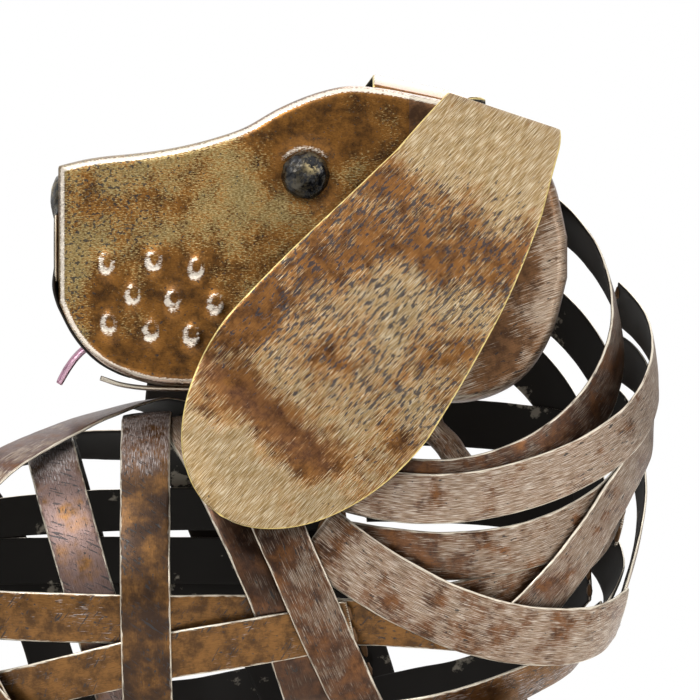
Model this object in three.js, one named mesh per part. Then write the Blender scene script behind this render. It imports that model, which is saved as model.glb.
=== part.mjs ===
// A standing puppy made of bent, overlapped and welded sheet-iron strips, with its head turned
// back over its body. Millimetres, +Z up, the dog's chest towards +X, its feet on Z = 0.
import * as THREE from "three";

// ---------- driving dimensions ----------
const SHEET = 0.8; // thickness of the iron sheet
const CLEAR = 0.3; // room left between pieces that touch
const STRIP = 12.5; // width of the usual strip
const WIDE_STRIP = 16; // width of the broad strip across the chest
const SEGMENT = 7.5; // length of one straight step along a strip
const FINE_STEPS = 4; // skin samples in each step
const RAMP = 0.16; // how steeply a strip climbs over the one below it
const REACH = 3.2; // how close two strips' samples come where the strips cross
const LINE_POINTS = 240; // places found along a strip's line before it is cut into steps
const FARTHEST = 260; // farther than any part of the skin from inside the body
const HALVINGS = 30; // how often a search range is halved

// The body is two egg shapes run together: the upright chest and neck, and the lying barrel.
const CHEST = {
  centre: new THREE.Vector3(0, 0, 160),
  half: new THREE.Vector3(50, 42, 84),
  turn: 0,
};
const BARREL = {
  centre: new THREE.Vector3(-68, 0, 117),
  half: new THREE.Vector3(76, 39, 42),
  turn: THREE.MathUtils.degToRad(-4),
};
const BLEND = 16; // how softly the two run into each other

const HEAD_HALF_WIDTH = 22;
const SNOUT_HALF_WIDTH = 15;
const HEAD_ROLL = 4; // radius of the rolled edge between cheek and top
const HEAD_STATIONS = 20;

const LEG_SPREAD = 23; // from the middle plane to the middle of a leg
const PAW = { length: 36, width: 25, height: 12.3, forward: 5 };

// ---------- materials ----------
const bronze = new THREE.MeshStandardMaterial({ color: 0x96683a, metalness: 0.8, roughness: 0.45 });
const gold = new THREE.MeshStandardMaterial({ color: 0xb59a5c, metalness: 0.85, roughness: 0.4 });
const black = new THREE.MeshStandardMaterial({ color: 0x1b1d22, metalness: 0.3, roughness: 0.3 });
const pink = new THREE.MeshStandardMaterial({ color: 0xb06a86, metalness: 0.2, roughness: 0.5 });

const dog = new THREE.Group();

function addMesh(name, geometry, material) {
  const mesh = new THREE.Mesh(geometry, material);
  mesh.name = name;
  dog.add(mesh);
  return mesh;
}

// ---------- solids from rows of points ----------
function geometryFrom(points, triangles) {
  const geometry = new THREE.BufferGeometry();
  const position = new Float32Array(points.flatMap((p) => [p.x, p.y, p.z]));
  geometry.setAttribute("position", new THREE.BufferAttribute(position, 3));
  geometry.setIndex(triangles);
  return geometry;
}

function signedVolume(points, triangles) {
  let total = 0;
  for (let i = 0; i < triangles.length; i += 3) {
    const [a, b, c] = [points[triangles[i]], points[triangles[i + 1]], points[triangles[i + 2]]];
    total += a.dot(b.clone().cross(c));
  }
  return total;
}

// Turns the faces round when they come out facing inwards.
function closedSolid(points, triangles) {
  if (signedVolume(points, triangles) < 0) triangles.reverse();
  return geometryFrom(points, triangles);
}

// A piece of sheet metal: rows of points on its inner face and the same rows on its outer face.
function sheetSolid(inner, outer) {
  const rows = inner.length;
  const columns = inner[0].length;
  const points = [...inner.flat(), ...outer.flat()];
  const index = (face, i, j) => face * rows * columns + i * columns + j;
  const triangles = [];
  const quad = (a, b, c, d) => triangles.push(a, b, c, a, c, d);
  for (let i = 0; i + 1 < rows; i++) {
    for (let j = 0; j + 1 < columns; j++) {
      quad(index(0, i, j), index(0, i, j + 1), index(0, i + 1, j + 1), index(0, i + 1, j));
      quad(index(1, i, j), index(1, i + 1, j), index(1, i + 1, j + 1), index(1, i, j + 1));
    }
    for (const [j, flip] of [[0, false], [columns - 1, true]]) {
      const [a, b, c, d] = [index(0, i, j), index(0, i + 1, j), index(1, i + 1, j), index(1, i, j)];
      flip ? quad(a, d, c, b) : quad(a, b, c, d);
    }
  }
  for (const [i, flip] of [[0, true], [rows - 1, false]]) {
    for (let j = 0; j + 1 < columns; j++) {
      const [a, b, c, d] = [index(0, i, j), index(0, i, j + 1), index(1, i, j + 1), index(1, i, j)];
      flip ? quad(a, d, c, b) : quad(a, b, c, d);
    }
  }
  return closedSolid(points, triangles);
}

// A full form from closed rings of points, its two ends closed by a fan round a middle point.
function loftSolid(rings, firstMiddle, lastMiddle) {
  const sides = rings[0].length;
  const points = [...rings.flat(), firstMiddle, lastMiddle];
  const last = (rings.length - 1) * sides;
  const triangles = [];
  for (let j = 0; j < sides; j++) {
    const next = (j + 1) % sides;
    for (let i = 0; i + 1 < rings.length; i++) {
      const [a, b] = [i * sides + j, i * sides + next];
      triangles.push(a, b, b + sides, a, b + sides, a + sides);
    }
    triangles.push(rings.length * sides, next, j);
    triangles.push(rings.length * sides + 1, last + j, last + next);
  }
  return closedSolid(points, triangles);
}

function middleOf(ring) {
  return ring.reduce((sum, p) => sum.add(p), new THREE.Vector3()).divideScalar(ring.length);
}

// ---------- the body's skin, which the strips are bent round ----------
function ellipsoidGap(point, body) {
  const scaled = point.clone().sub(body.centre);
  scaled.applyAxisAngle(new THREE.Vector3(0, 1, 0), -body.turn).divide(body.half);
  const reach = scaled.length();
  return (reach * (reach - 1)) / scaled.divide(body.half).length();
}

// Distance from a point to the skin: above zero outside, below zero inside.
function skinGap(point) {
  const chest = ellipsoidGap(point, CHEST);
  const barrel = ellipsoidGap(point, BARREL);
  const mix = THREE.MathUtils.clamp(0.5 + (barrel - chest) / (2 * BLEND), 0, 1);
  return THREE.MathUtils.lerp(barrel, chest, mix) - BLEND * mix * (1 - mix);
}

function skinNormal(point) {
  const slope = (axis) => {
    const step = new THREE.Vector3().setComponent(axis, 0.05);
    return skinGap(point.clone().add(step)) - skinGap(point.clone().sub(step));
  };
  return new THREE.Vector3(slope(0), slope(1), slope(2)).normalize();
}

function toSkin(point) {
  const found = point.clone();
  for (let i = 0; i < 4; i++) found.addScaledVector(skinNormal(found), -skinGap(found));
  return found;
}

// The distance along a ray from inside the body at which the skin is `height` below.
function rayToSkin(origin, direction, height = 0) {
  let [near, far] = [0, FARTHEST];
  for (let i = 0; i < HALVINGS; i++) {
    const middle = (near + far) / 2;
    const point = origin.clone().addScaledVector(direction, middle);
    if (skinGap(point) < height) near = middle;
    else far = middle;
  }
  return near;
}

// A place on the skin from its x and z and the side of the body it is on: -1 near, 1 far, 0 middle.
function onSkin([x, z, side]) {
  const middle = new THREE.Vector3(x, 0, z);
  if (side === 0 || skinGap(middle) > 0) return toSkin(middle);
  const across = new THREE.Vector3(0, side, 0);
  return middle.addScaledVector(across, rayToSkin(middle, across));
}

// ---------- strips laid over the skin ----------
// The line where a flat cut through three places meets the skin, from the first over the second to
// the third or a share of the way there, or from the first all the way round and back to it.
function cutLine({ marks, allRound, share }) {
  const [a, b, c] = marks.map(onSkin);
  const core = new THREE.Line3(BARREL.centre, CHEST.centre);
  const middle = new THREE.Vector3().add(a).add(b).add(c).divideScalar(3);
  const axis = b.clone().sub(a).cross(c.clone().sub(a)).normalize();
  const origin = core.closestPointToPoint(middle, true, new THREE.Vector3());
  origin.addScaledVector(axis, a.clone().sub(origin).dot(axis));
  const first = a.clone().sub(origin).normalize();
  const second = axis.clone().cross(first);
  const full = 2 * Math.PI;
  const angleOf = (p) => {
    const out = p.clone().sub(origin);
    return (Math.atan2(out.dot(second), out.dot(first)) + full) % full;
  };
  if (angleOf(b) > angleOf(c)) second.negate();
  const sweep = allRound ? full : angleOf(c) * share;
  return Array.from({ length: LINE_POINTS + 1 }, (_, i) => {
    const angle = (sweep * i) / LINE_POINTS;
    const ray = first.clone().multiplyScalar(Math.cos(angle));
    ray.addScaledVector(second, Math.sin(angle)).normalize();
    return origin.clone().addScaledVector(ray, rayToSkin(origin, ray));
  });
}

const laid = []; // every strip laid so far, the first one innermost

// Samples along a strip: its middle and edges on the bare skin, how far its straight chords dip
// below the skin where the body bulges, and how far they rise above it where the body is hollow.
function stripSamples(strip) {
  const line = new THREE.CatmullRomCurve3(cutLine(strip));
  line.arcLengthDivisions = 2.5 * LINE_POINTS;
  const length = line.getLength();
  const steps = Math.ceil(length / SEGMENT);
  const seam = strip.allRound ? 1 / length : 0;
  const samples = [];
  for (let i = 0; i <= steps * FINE_STEPS; i++) {
    const along = THREE.MathUtils.lerp(seam, 1 - seam, i / (steps * FINE_STEPS));
    const middle = toSkin(line.getPointAt(along));
    const normal = skinNormal(middle);
    const across = normal.clone().cross(line.getTangentAt(along)).normalize();
    const half = strip.width / 2;
    const columns = [-1, -0.5, 0, 0.5, 1].map((u) =>
      toSkin(middle.clone().addScaledVector(across, u * half)),
    );
    samples.push({ middle, normal, columns, dip: 0, rise: 0, lift: 0 });
  }
  const spacing = length / (steps * FINE_STEPS);
  const addChord = (sample, from, to) => {
    const chord = from.clone().add(to).multiplyScalar(0.5);
    const depth = sample.middle.clone().sub(chord).dot(sample.normal);
    sample.dip += Math.max(0, depth);
    sample.rise += Math.max(0, -depth);
  };
  samples.forEach((sample, i) => {
    const before = samples[Math.max(0, i - FINE_STEPS / 2)].middle;
    const after = samples[Math.min(samples.length - 1, i + FINE_STEPS / 2)].middle;
    addChord(sample, sample.columns[0], sample.columns[4]);
    addChord(sample, before, after);
  });
  return { samples, spacing };
}

// How high the strip must ride at each sample to pass over every strip laid before it.
function liftOver(samples, spacing) {
  const needed = samples.map((sample) => {
    let height = 0;
    for (const below of laid) {
      for (const other of below.samples) {
        if (other.middle.distanceTo(sample.middle) > WIDE_STRIP + STRIP) continue;
        const close = sample.columns.some((p) =>
          other.columns.some((q) => p.distanceToSquared(q) < REACH * REACH),
        );
        const top = other.lift + other.rise + SHEET;
        if (close) height = Math.max(height, top + CLEAR + sample.dip);
      }
    }
    return height;
  });
  samples.forEach((sample, i) => {
    needed.forEach((height, j) => {
      const away = Math.max(0, Math.abs(i - j) - FINE_STEPS) * spacing;
      sample.lift = Math.max(sample.lift, height - RAMP * away);
    });
  });
}

function layStrip(name, marks, { allRound = false, width = STRIP, share = 1 } = {}) {
  const strip = { name, marks, allRound, width, share };
  const { samples, spacing } = stripSamples(strip);
  liftOver(samples, spacing);
  laid.push({ name, samples });
  const stations = samples.filter((_, i) => i % FINE_STEPS === 0);
  const face = (height) =>
    stations.map(({ columns, normal, lift }) =>
      [columns[0], columns[4]].map((p) => p.clone().addScaledVector(normal, lift + height)),
    );
  addMesh(name, sheetSolid(face(0), face(SHEET)), bronze);
}

// Each row is a strip's name and the three places it is bent through: x, z and side.
const NEAR = -1;
const FAR = 1;
const MIDDLE = 0;

function layChest() {
  layStrip("far_chest_band_1", [[-30, 158, FAR], [16, 158, FAR], [45, 153, FAR]]);
  layStrip("far_chest_band_2", [[2, 183, FAR], [33, 163, FAR], [41, 126, FAR]]);
  layStrip("far_chest_band_3", [[22, 194, FAR], [38, 182, FAR], [46, 168, FAR]]);
  layStrip("far_chest_band_4", [[-30, 128, FAR], [12, 108, FAR], [41, 118, FAR]]);
  layStrip("far_chest_band_6", [[-20, 87, FAR], [14, 95, FAR], [42, 108, FAR]]);
  layStrip("far_chest_band_5", [[-16, 139, FAR], [16, 138, FAR], [46, 134, FAR]]);
  layStrip("chest_band_3", [[-16, 112, NEAR], [28, 121, NEAR], [38, 160, FAR]], { share: 0.66 });
  layStrip("chest_band_2", [[-28, 130, NEAR], [28, 131, NEAR], [38, 174, FAR]], { share: 0.68 });
  layStrip("chest_band_4", [[-14, 85, NEAR], [25, 96, NEAR], [40, 128, FAR]]);
  layStrip("collar_band_4", [[38, 104, NEAR], [50, 128, NEAR], [40, 162, FAR]]);
  layStrip("collar_band_3", [[20, 110, NEAR], [42, 138.5, NEAR], [44, 176, FAR]]);
  layStrip("collar_band_1", [[-28, 152, NEAR], [8, 145, NEAR], [35, 210, FAR]]);
  layStrip("collar_band_2", [[-32, 147.5, NEAR], [36, 151.5, NEAR], [43, 189, FAR]]);
}

function layBarrel() {
  layStrip("far_flank_band_1", [[-22, 137, FAR], [-80, 136, FAR], [-136, 130, FAR]]);
  layStrip("far_flank_band_2", [[-22, 122, FAR], [-80, 122.5, FAR], [-140, 121, FAR]]);
  layStrip("barrel_hoop_2", [[-74, 75, MIDDLE], [-85, 117, NEAR], [-97, 154, MIDDLE]], { allRound: true });
  layStrip("flank_band_1", [[15, 110, NEAR], [-144, 113, MIDDLE], [-10, 112, FAR]]);
  layStrip("barrel_hoop_3", [[-30, 76, MIDDLE], [-43, 124, NEAR], [-64, 158, MIDDLE]], { allRound: true });
  layStrip("flank_band_2", [[-20, 111, NEAR], [-100, 95, NEAR], [-16, 100, FAR]]);
  layStrip("flank_band_3", [[-24, 150, FAR], [-90, 150, FAR], [-140, 128, NEAR]]);
  layStrip("rump_band_1", [[-96, 78, MIDDLE], [-118, 110, NEAR], [-126, 145, MIDDLE]], { allRound: true });
  layStrip("belly_band", [[-140, 108, MIDDLE], [-80, 75, MIDDLE], [-4, 78, MIDDLE]]);
  layStrip("rump_band_2", [[-122, 108, NEAR], [-102, 86, NEAR], [-88, 92, FAR]]);
}

function layTopStrips() {
  layStrip("chest_band_1", [[-28, 132, NEAR], [8, 112, NEAR], [41, 114, NEAR]], { width: WIDE_STRIP });
  layStrip("barrel_hoop_4", [[-46, 152, NEAR], [-21, 98, NEAR], [-38, 148, FAR]]);
  layStrip("barrel_hoop_1", [[-71, 75, MIDDLE], [-71, 116, NEAR], [-72, 159, MIDDLE]]);
  layStrip("spine_band", [[-124, 122, NEAR], [-80, 159, MIDDLE], [-58, 132, FAR]]);
}

// ---------- the head ----------
// The top and bottom edges of the cheek, from the snout to the back of the skull, as x and z.
const HEAD_TOP = new THREE.SplineCurve([
  [-94, 224], [-85, 226], [-71, 227.5], [-58, 230], [-46, 234], [-36, 239.5], [-21, 244],
  [-2, 241.5], [14, 237], [25, 229], [32, 217], [34.4, 205],
].map(([x, z]) => new THREE.Vector2(x, z)));
const HEAD_BOTTOM = new THREE.SplineCurve([
  [-94, 190], [-91, 183.5], [-86.5, 177.5], [-80, 172.8], [-68, 169.2], [-52, 169], [-30, 167.5],
  [-5, 165.2], [12, 165.6], [24, 172], [31, 184], [34.4, 197],
].map(([x, z]) => new THREE.Vector2(x, z)));
const HEAD_FRONT = -94;
const HEAD_BACK = 34.4;

// The height of one of the two edges at a given x: both run steadily from front to back.
function heightAt(edge, x) {
  let [low, high] = [0, 1];
  for (let i = 0; i < HALVINGS; i++) {
    const middle = (low + high) / 2;
    if (edge.getPoint(middle).x < x) low = middle;
    else high = middle;
  }
  return edge.getPoint(low).y;
}

function headHalfWidth(x) {
  const fromFront = THREE.MathUtils.smoothstep(x, HEAD_FRONT, -35);
  const toBack = THREE.MathUtils.smoothstep(x, 8, HEAD_BACK + 12);
  const width = THREE.MathUtils.lerp(SNOUT_HALF_WIDTH, HEAD_HALF_WIDTH, fromFront);
  return width - 5 * toBack;
}

// The head's outline at one station: four rolled corners, each of three points round its own centre.
function headRing(x) {
  const [top, bottom] = [heightAt(HEAD_TOP, x), heightAt(HEAD_BOTTOM, x)];
  const half = headHalfWidth(x);
  const roll = Math.min(HEAD_ROLL, (top - bottom) / 3);
  // Side, height and first angle of each corner.
  const corners = [
    [NEAR, bottom + roll, -180], [FAR, bottom + roll, -90], [FAR, top - roll, 0], [NEAR, top - roll, 90],
  ];
  return corners.flatMap(([side, z, first]) =>
    [0, 45, 90].map((turn) => {
      const angle = THREE.MathUtils.degToRad(first + turn);
      const y = side * (half - roll) + roll * Math.cos(angle);
      return new THREE.Vector3(x, y, z + roll * Math.sin(angle));
    }),
  );
}

function makeHead() {
  const rings = [];
  for (let i = 0; i <= HEAD_STATIONS; i++) {
    const eased = 0.5 - 0.5 * Math.cos((Math.PI * i) / HEAD_STATIONS);
    const along = THREE.MathUtils.lerp(i / HEAD_STATIONS, eased, 0.6);
    rings.push(headRing(THREE.MathUtils.lerp(HEAD_FRONT, HEAD_BACK - 0.2, along)));
  }
  const ends = [rings[0], rings[rings.length - 1]].map(middleOf);
  addMesh("head", loftSolid(rings, ends[0], ends[1]), bronze);
}

// A cast dome with a flat back, pointing along +Z before it is turned.
function domeGeometry(radius, height, sides, rim = 0.8) {
  const profile = [new THREE.Vector2(0, 0), new THREE.Vector2(radius, 0)];
  for (let i = 0; i <= 4; i++) {
    const angle = (Math.PI / 2) * (i / 4);
    const z = rim + (height - rim) * Math.sin(angle);
    profile.push(new THREE.Vector2(i === 4 ? 0 : radius * Math.cos(angle), z));
  }
  return new THREE.LatheGeometry(profile, sides).rotateX(Math.PI / 2);
}

const EYE = { x: -31.6, z: 221.6, radius: 6, height: 4.2 };
const NOSE = { halfHeight: 7, halfWidth: 9.5, depth: 2.4, z: 216 };
const JAW_HALF_WIDTH = 9;
const JAW_SHEET = 1.2;

function makeFace() {
  const cheek = headHalfWidth(EYE.x) + CLEAR;
  for (const [name, side] of [["eye_near", NEAR], ["eye_far", FAR]]) {
    const eye = addMesh(name, domeGeometry(EYE.radius, EYE.height, 16), black);
    eye.rotation.x = side * -Math.PI / 2;
    eye.position.set(EYE.x, side * cheek, EYE.z);
  }
  const nose = addMesh("nose", domeGeometry(1, 1, 14, 0.3), black);
  nose.scale.set(NOSE.halfHeight, NOSE.halfWidth, NOSE.depth);
  nose.rotation.y = -Math.PI / 2;
  nose.position.set(HEAD_FRONT - CLEAR, 0, NOSE.z);
}

// The lower jaw is a flat strip cut to a point, close under the chin.
function makeJaw() {
  // Along the strip: its x and z, and the share of its full width there.
  const jaw = [[-84, 171.3, 0.35], [-79, 169.7, 0.75], [-72, 168.3, 0.95], [-64, 167.7, 1], [-50, 167.2, 1]];
  const rows = jaw.map(([x, z, part]) =>
    [-1, 0, 1].map((u) => new THREE.Vector3(x, u * JAW_HALF_WIDTH * part, z)),
  );
  const down = new THREE.Vector3(0, 0, -JAW_SHEET);
  const lower = rows.map((row) => row.map((p) => p.clone().add(down)));
  addMesh("lower_jaw", sheetSolid(rows, lower), bronze);
}

// The tongue leaves the mouth below the lip and hangs forward, its tip cut to a fork.
function makeTongue() {
  const path = new THREE.QuadraticBezierCurve(
    new THREE.Vector2(-88.4, 177.6), new THREE.Vector2(-92.2, 175.4), new THREE.Vector2(-94.9, 168.8),
  );
  // How far along the tongue, and half its width there.
  const outline = [[0, 3.6], [0.35, 3.8], [0.7, 3.5], [1, 2.4]];
  const notch = path.getPoint(0.84); // between the two points of the fork
  const rows = outline.map(([along, half]) => {
    const edge = path.getPoint(along);
    const middle = along === 1 ? notch : edge;
    return [[edge, -half], [middle, 0], [edge, half]].map(([p, y]) => new THREE.Vector3(p.x, y, p.y));
  });
  const back = new THREE.Vector3(0.65, 0, -0.5); // the sheet's thickness, towards the chin
  const lower = rows.map((row) => row.map((p) => p.clone().add(back)));
  addMesh("tongue", sheetSolid(rows, lower), pink);
}

// ---------- the ears ----------
// A leaf of sheet bent over the top of the head. Along it from the fold to the tip, `down` is
// measured along its slanting middle line.
const EAR = {
  length: 122, // from the fold to the tip
  widest: 79, // where it is broadest
  foldHalfWidth: 15.5,
  widestHalfWidth: 29,
  drift: 10.2, // how far its middle line bends towards the snout by the tip
  rows: 16,
  columns: 7,
  sheet: 1,
};
// Where each ear's fold lies on the head, how it slopes, and how far the ear leans to the snout.
const EARS = [
  { name: "ear_near", side: NEAR, x: 18.5, z: 238, slope: 18.4, lean: 31.8 },
  { name: "ear_far", side: FAR, x: 0.5, z: 245, slope: 12, lean: 28 },
];

function earHalfWidth(down) {
  if (down > EAR.widest) {
    const part = (down - EAR.widest) / (EAR.length - EAR.widest);
    return EAR.widestHalfWidth * Math.sqrt(Math.max(0, 1 - part * part));
  }
  const part = Math.max(0, down) / EAR.widest;
  const eased = 0.5 * part + 0.5 * Math.sin((Math.PI / 2) * part);
  return THREE.MathUtils.lerp(EAR.foldHalfWidth, EAR.widestHalfWidth, eased);
}

// How far out from the middle plane the ear hangs: it leaves the head, drops, and flares at the tip.
const EAR_FLARE = new THREE.SplineCurve([
  [-12, 9], [-6, 18], [0, 25.5], [8, 31.5], [22, 38], [45, 44.5], [70, 48.6], [92, 50.6],
  [110, 53], [122, 56.5],
].map(([down, out]) => new THREE.Vector2(down, out)));

function earPoint(down, u, ear) {
  const fold = Math.min(down, 0);
  const run = Math.max(down, 0);
  const lean = THREE.MathUtils.degToRad(ear.lean);
  const straightened = THREE.MathUtils.smoothstep(run, 0, 45);
  const row = THREE.MathUtils.lerp(THREE.MathUtils.degToRad(ear.slope), lean, straightened);
  const middle = 3 * straightened - EAR.drift * THREE.MathUtils.clamp((run - 20) / 99, 0, 1.2);
  const across = middle + u * earHalfWidth(run);
  const x = ear.x - run * Math.sin(lean) + across * Math.cos(row);
  const drop = run * Math.cos(lean) + across * Math.sin(row);
  const out = heightAt(EAR_FLARE, down) - 1.6 * u * u * Math.min(1, run / 40);
  return new THREE.Vector3(x, ear.side * out, ear.z - drop - fold * fold * 0.01);
}

function makeEar(ear) {
  const rows = [];
  for (let i = -2; i <= EAR.rows; i++) {
    const eased = Math.sin((Math.PI / 2) * (i / EAR.rows));
    const down = i < 0 ? i * 6 : (EAR.length - 0.6) * THREE.MathUtils.lerp(i / EAR.rows, eased, 0.55);
    const row = [];
    for (let j = 0; j < EAR.columns; j++) {
      row.push(earPoint(down, (2 * j) / (EAR.columns - 1) - 1, ear));
    }
    rows.push(row);
  }
  const outer = rows.map((row, i) =>
    row.map((p, j) => {
      const along = rows[Math.min(i + 1, rows.length - 1)][j].clone().sub(rows[Math.max(i - 1, 0)][j]);
      const across = row[Math.min(j + 1, row.length - 1)].clone().sub(row[Math.max(j - 1, 0)]);
      const normal = across.cross(along).normalize();
      if (normal.y * ear.side + normal.z < 0) normal.negate();
      return p.clone().addScaledVector(normal, EAR.sheet);
    }),
  );
  addMesh(ear.name, sheetSolid(rows, outer), gold);
}

// ---------- the strut under the head ----------
function rodRing(centre, direction, radius, sides) {
  const first = new THREE.Vector3(0, 1, 0).cross(direction).normalize();
  const second = direction.clone().cross(first).normalize();
  return Array.from({ length: sides }, (_, i) => {
    const angle = (2 * Math.PI * i) / sides;
    const out = first.clone().multiplyScalar(Math.cos(angle)).addScaledVector(second, Math.sin(angle));
    return centre.clone().addScaledVector(out, radius);
  });
}

const STRUT_RADIUS = 3.4;

function makeStrut() {
  const path = new THREE.QuadraticBezierCurve3(
    new THREE.Vector3(0, -16, 164.8), new THREE.Vector3(0, -16, 157), new THREE.Vector3(10, -31, 145),
  );
  const rings = [0, 0.25, 0.5, 0.75, 1].map((t) =>
    rodRing(path.getPoint(t), path.getTangent(t), STRUT_RADIUS, 10),
  );
  addMesh("neck_strut", loftSolid(rings, middleOf(rings[0]), middleOf(rings[4])), bronze);
}

// ---------- the legs ----------
// How high the top of the pile of strips stands above the skin near a place on it.
function pileHeight(place, within) {
  let height = 0;
  for (const strip of laid) {
    for (const { columns, lift, rise } of strip.samples) {
      const close = columns.some((p) => p.distanceTo(place) < within);
      if (close) height = Math.max(height, lift + rise + SHEET);
    }
  }
  return height;
}

const LEG_SIDES = 12;
const LEG_LOWEST_TOP = 40; // below any part of the body
const BODY_MIDDLE = 150; // a height inside the body above every leg

// The middle line of a leg from the paw up, as offsets in x, with its radii along and across.
const FRONT_LEG = [[0, 12.6, 7, 7], [0, 24, 7.4, 7.2], [1, 42, 8.8, 8.4], [2, 60, 11, 10]];
const REAR_LEG = [[-1, 12.6, 7, 7], [-5, 24, 7.2, 7], [-7, 36, 8.2, 8], [-1, 54, 12, 10.4]];
// `highest` is how far up the side of the body a leg reaches.
const LEGS = [
  { name: "front_near", x: 10, side: NEAR, shape: FRONT_LEG, top: [3, 14, 10], highest: 85 },
  { name: "front_far", x: 10, side: FAR, shape: FRONT_LEG, top: [3, 14, 10], highest: 98 },
  { name: "rear_near", x: -112, side: NEAR, shape: REAR_LEG, top: [6, 16, 11], highest: 85 },
  { name: "rear_far", x: -112, side: FAR, shape: REAR_LEG, top: [6, 16, 11], highest: 92 },
];

function legRing(x, y, z, along, across) {
  return Array.from({ length: LEG_SIDES }, (_, i) => {
    const angle = (2 * Math.PI * i) / LEG_SIDES;
    return new THREE.Vector3(x + along * Math.cos(angle), y + across * Math.sin(angle), z);
  });
}

// The top of a leg is cut to the shape of the strips above it.
function cutUnderBody(point, height, highest) {
  let [low, high] = [LEG_LOWEST_TOP, BODY_MIDDLE];
  for (let i = 0; i < HALVINGS; i++) {
    const middle = (low + high) / 2;
    if (skinGap(new THREE.Vector3(point.x, point.y, middle)) > height) low = middle;
    else high = middle;
  }
  return new THREE.Vector3(point.x, point.y, Math.min(low, highest));
}

function makeLeg({ name, x, side, shape, top, highest }) {
  const y = side * LEG_SPREAD;
  const rings = shape.map(([shift, z, along, across]) => legRing(x + shift, y, z, along, across));
  const rim = legRing(x + top[0], y, 0, top[1], top[2]);
  const piles = rim.map((p) => pileHeight(toSkin(cutUnderBody(p, 0, highest)), top[1] / 2));
  const pile = Math.max(...piles) + CLEAR;
  rings.push(rim.map((p) => cutUnderBody(p, pile, highest)));
  const crown = cutUnderBody(new THREE.Vector3(x + top[0], y, 0), pile, highest);
  addMesh("leg_" + name, loftSolid(rings, middleOf(rings[0]), crown), bronze);
  return rings;
}

const WOUND = { pitch: 12.5, width: 9.5, turns: 3, stepsPerTurn: 10, lowest: 15, stand: 1.2 };

// A strip wound round the leg in a rising spiral, standing clear of the leg's corners.
function windLeg(name, rings) {
  const levels = rings.slice(0, 4).map((ring) => ({ middle: middleOf(ring), ring }));
  const at = (z, angle) => {
    let i = 0;
    while (i < levels.length - 2 && levels[i + 1].middle.z < z) i++;
    const [low, high] = [levels[i], levels[i + 1]];
    const part = (z - low.middle.z) / (high.middle.z - low.middle.z);
    const middle = low.middle.clone().lerp(high.middle, part);
    const along = THREE.MathUtils.lerp(low.ring[0].x - low.middle.x, high.ring[0].x - high.middle.x, part);
    const across = THREE.MathUtils.lerp(low.ring[3].y - low.middle.y, high.ring[3].y - high.middle.y, part);
    return [
      middle.clone().add(new THREE.Vector3(along * Math.cos(angle), across * Math.sin(angle), 0)),
      new THREE.Vector3(across * Math.cos(angle), along * Math.sin(angle), 0).normalize(),
    ];
  };
  const rows = [[], []];
  for (let i = 0; i <= WOUND.turns * WOUND.stepsPerTurn; i++) {
    const angle = (2 * Math.PI * i) / WOUND.stepsPerTurn;
    const z = WOUND.lowest + (WOUND.pitch * i) / WOUND.stepsPerTurn;
    [0, SHEET].forEach((height, face) => {
      rows[face].push([0, WOUND.width].map((up) => {
        const [p, out] = at(z + up, angle);
        return p.addScaledVector(out, WOUND.stand + height);
      }));
    });
  }
  addMesh("leg_wrap_" + name, sheetSolid(rows[0], rows[1]), bronze);
}

function makePaw(name, x, side) {
  const outline = [[0, 0], [0.96, 0], [1, 0.12], [0.98, 0.42], [0.88, 0.72], [0.7, 0.92], [0.55, 1], [0, 1]];
  const paw = addMesh(
    "paw_" + name,
    new THREE.LatheGeometry(outline.map(([r, h]) => new THREE.Vector2(r, h)), 18).rotateX(Math.PI / 2),
    bronze,
  );
  paw.scale.set(PAW.length / 2, PAW.width / 2, PAW.height);
  paw.position.set(x + PAW.forward, side * LEG_SPREAD, 0);
}

// ---------- the tail ----------
const TAIL_HALF_WIDTH = 7.5;
const TAIL_TIP_HALF_WIDTH = 1.6;
const TAIL_FOLD = 2.4; // height of the crease along its middle
const TAIL_SHEET = 1;
const TAIL_STEPS = 9;

function makeTail() {
  const root = toSkin(new THREE.Vector3(-146, 0, 130));
  root.addScaledVector(skinNormal(root), pileHeight(root, 9) + CLEAR);
  const path = new THREE.CubicBezierCurve3(
    root, root.clone().add(new THREE.Vector3(-17, 0, 7)),
    root.clone().add(new THREE.Vector3(-27, 0, 27)), root.clone().add(new THREE.Vector3(-25, 0, 54)),
  );
  const rows = [[], []];
  for (let i = 0; i <= TAIL_STEPS; i++) {
    const part = i / TAIL_STEPS;
    const point = path.getPoint(part);
    const along = path.getTangent(part);
    const out = new THREE.Vector3(0, 1, 0).cross(along).normalize();
    const half = THREE.MathUtils.lerp(TAIL_HALF_WIDTH, TAIL_TIP_HALF_WIDTH, part ** 1.6);
    [0, TAIL_SHEET].forEach((height, face) => {
      rows[face].push([-1, 0, 1].map((u) => {
        const fold = TAIL_FOLD * (1 - Math.abs(u)) * (half / TAIL_HALF_WIDTH);
        return point.clone().add(new THREE.Vector3(0, u * half, 0)).addScaledVector(out, height + fold);
      }));
    });
  }
  addMesh("tail", sheetSolid(rows[0], rows[1]), bronze);
}

layChest();
layBarrel();
layTopStrips();
makeHead();
makeFace();
makeJaw();
makeTongue();
EARS.forEach(makeEar);
makeStrut();
for (const leg of LEGS) {
  windLeg(leg.name, makeLeg(leg));
  makePaw(leg.name, leg.x, leg.side);
}
makeTail();

dog.updateMatrixWorld(true);
const extent = new THREE.Box3().setFromObject(dog);
dog.position.set(-(extent.min.x + extent.max.x) / 2, -(extent.min.y + extent.max.y) / 2, -extent.min.z);

export default dog;
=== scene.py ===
import math

import bmesh
import bpy
import numpy as np
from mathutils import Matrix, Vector, noise
from mathutils.bvhtree import BVHTree


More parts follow.
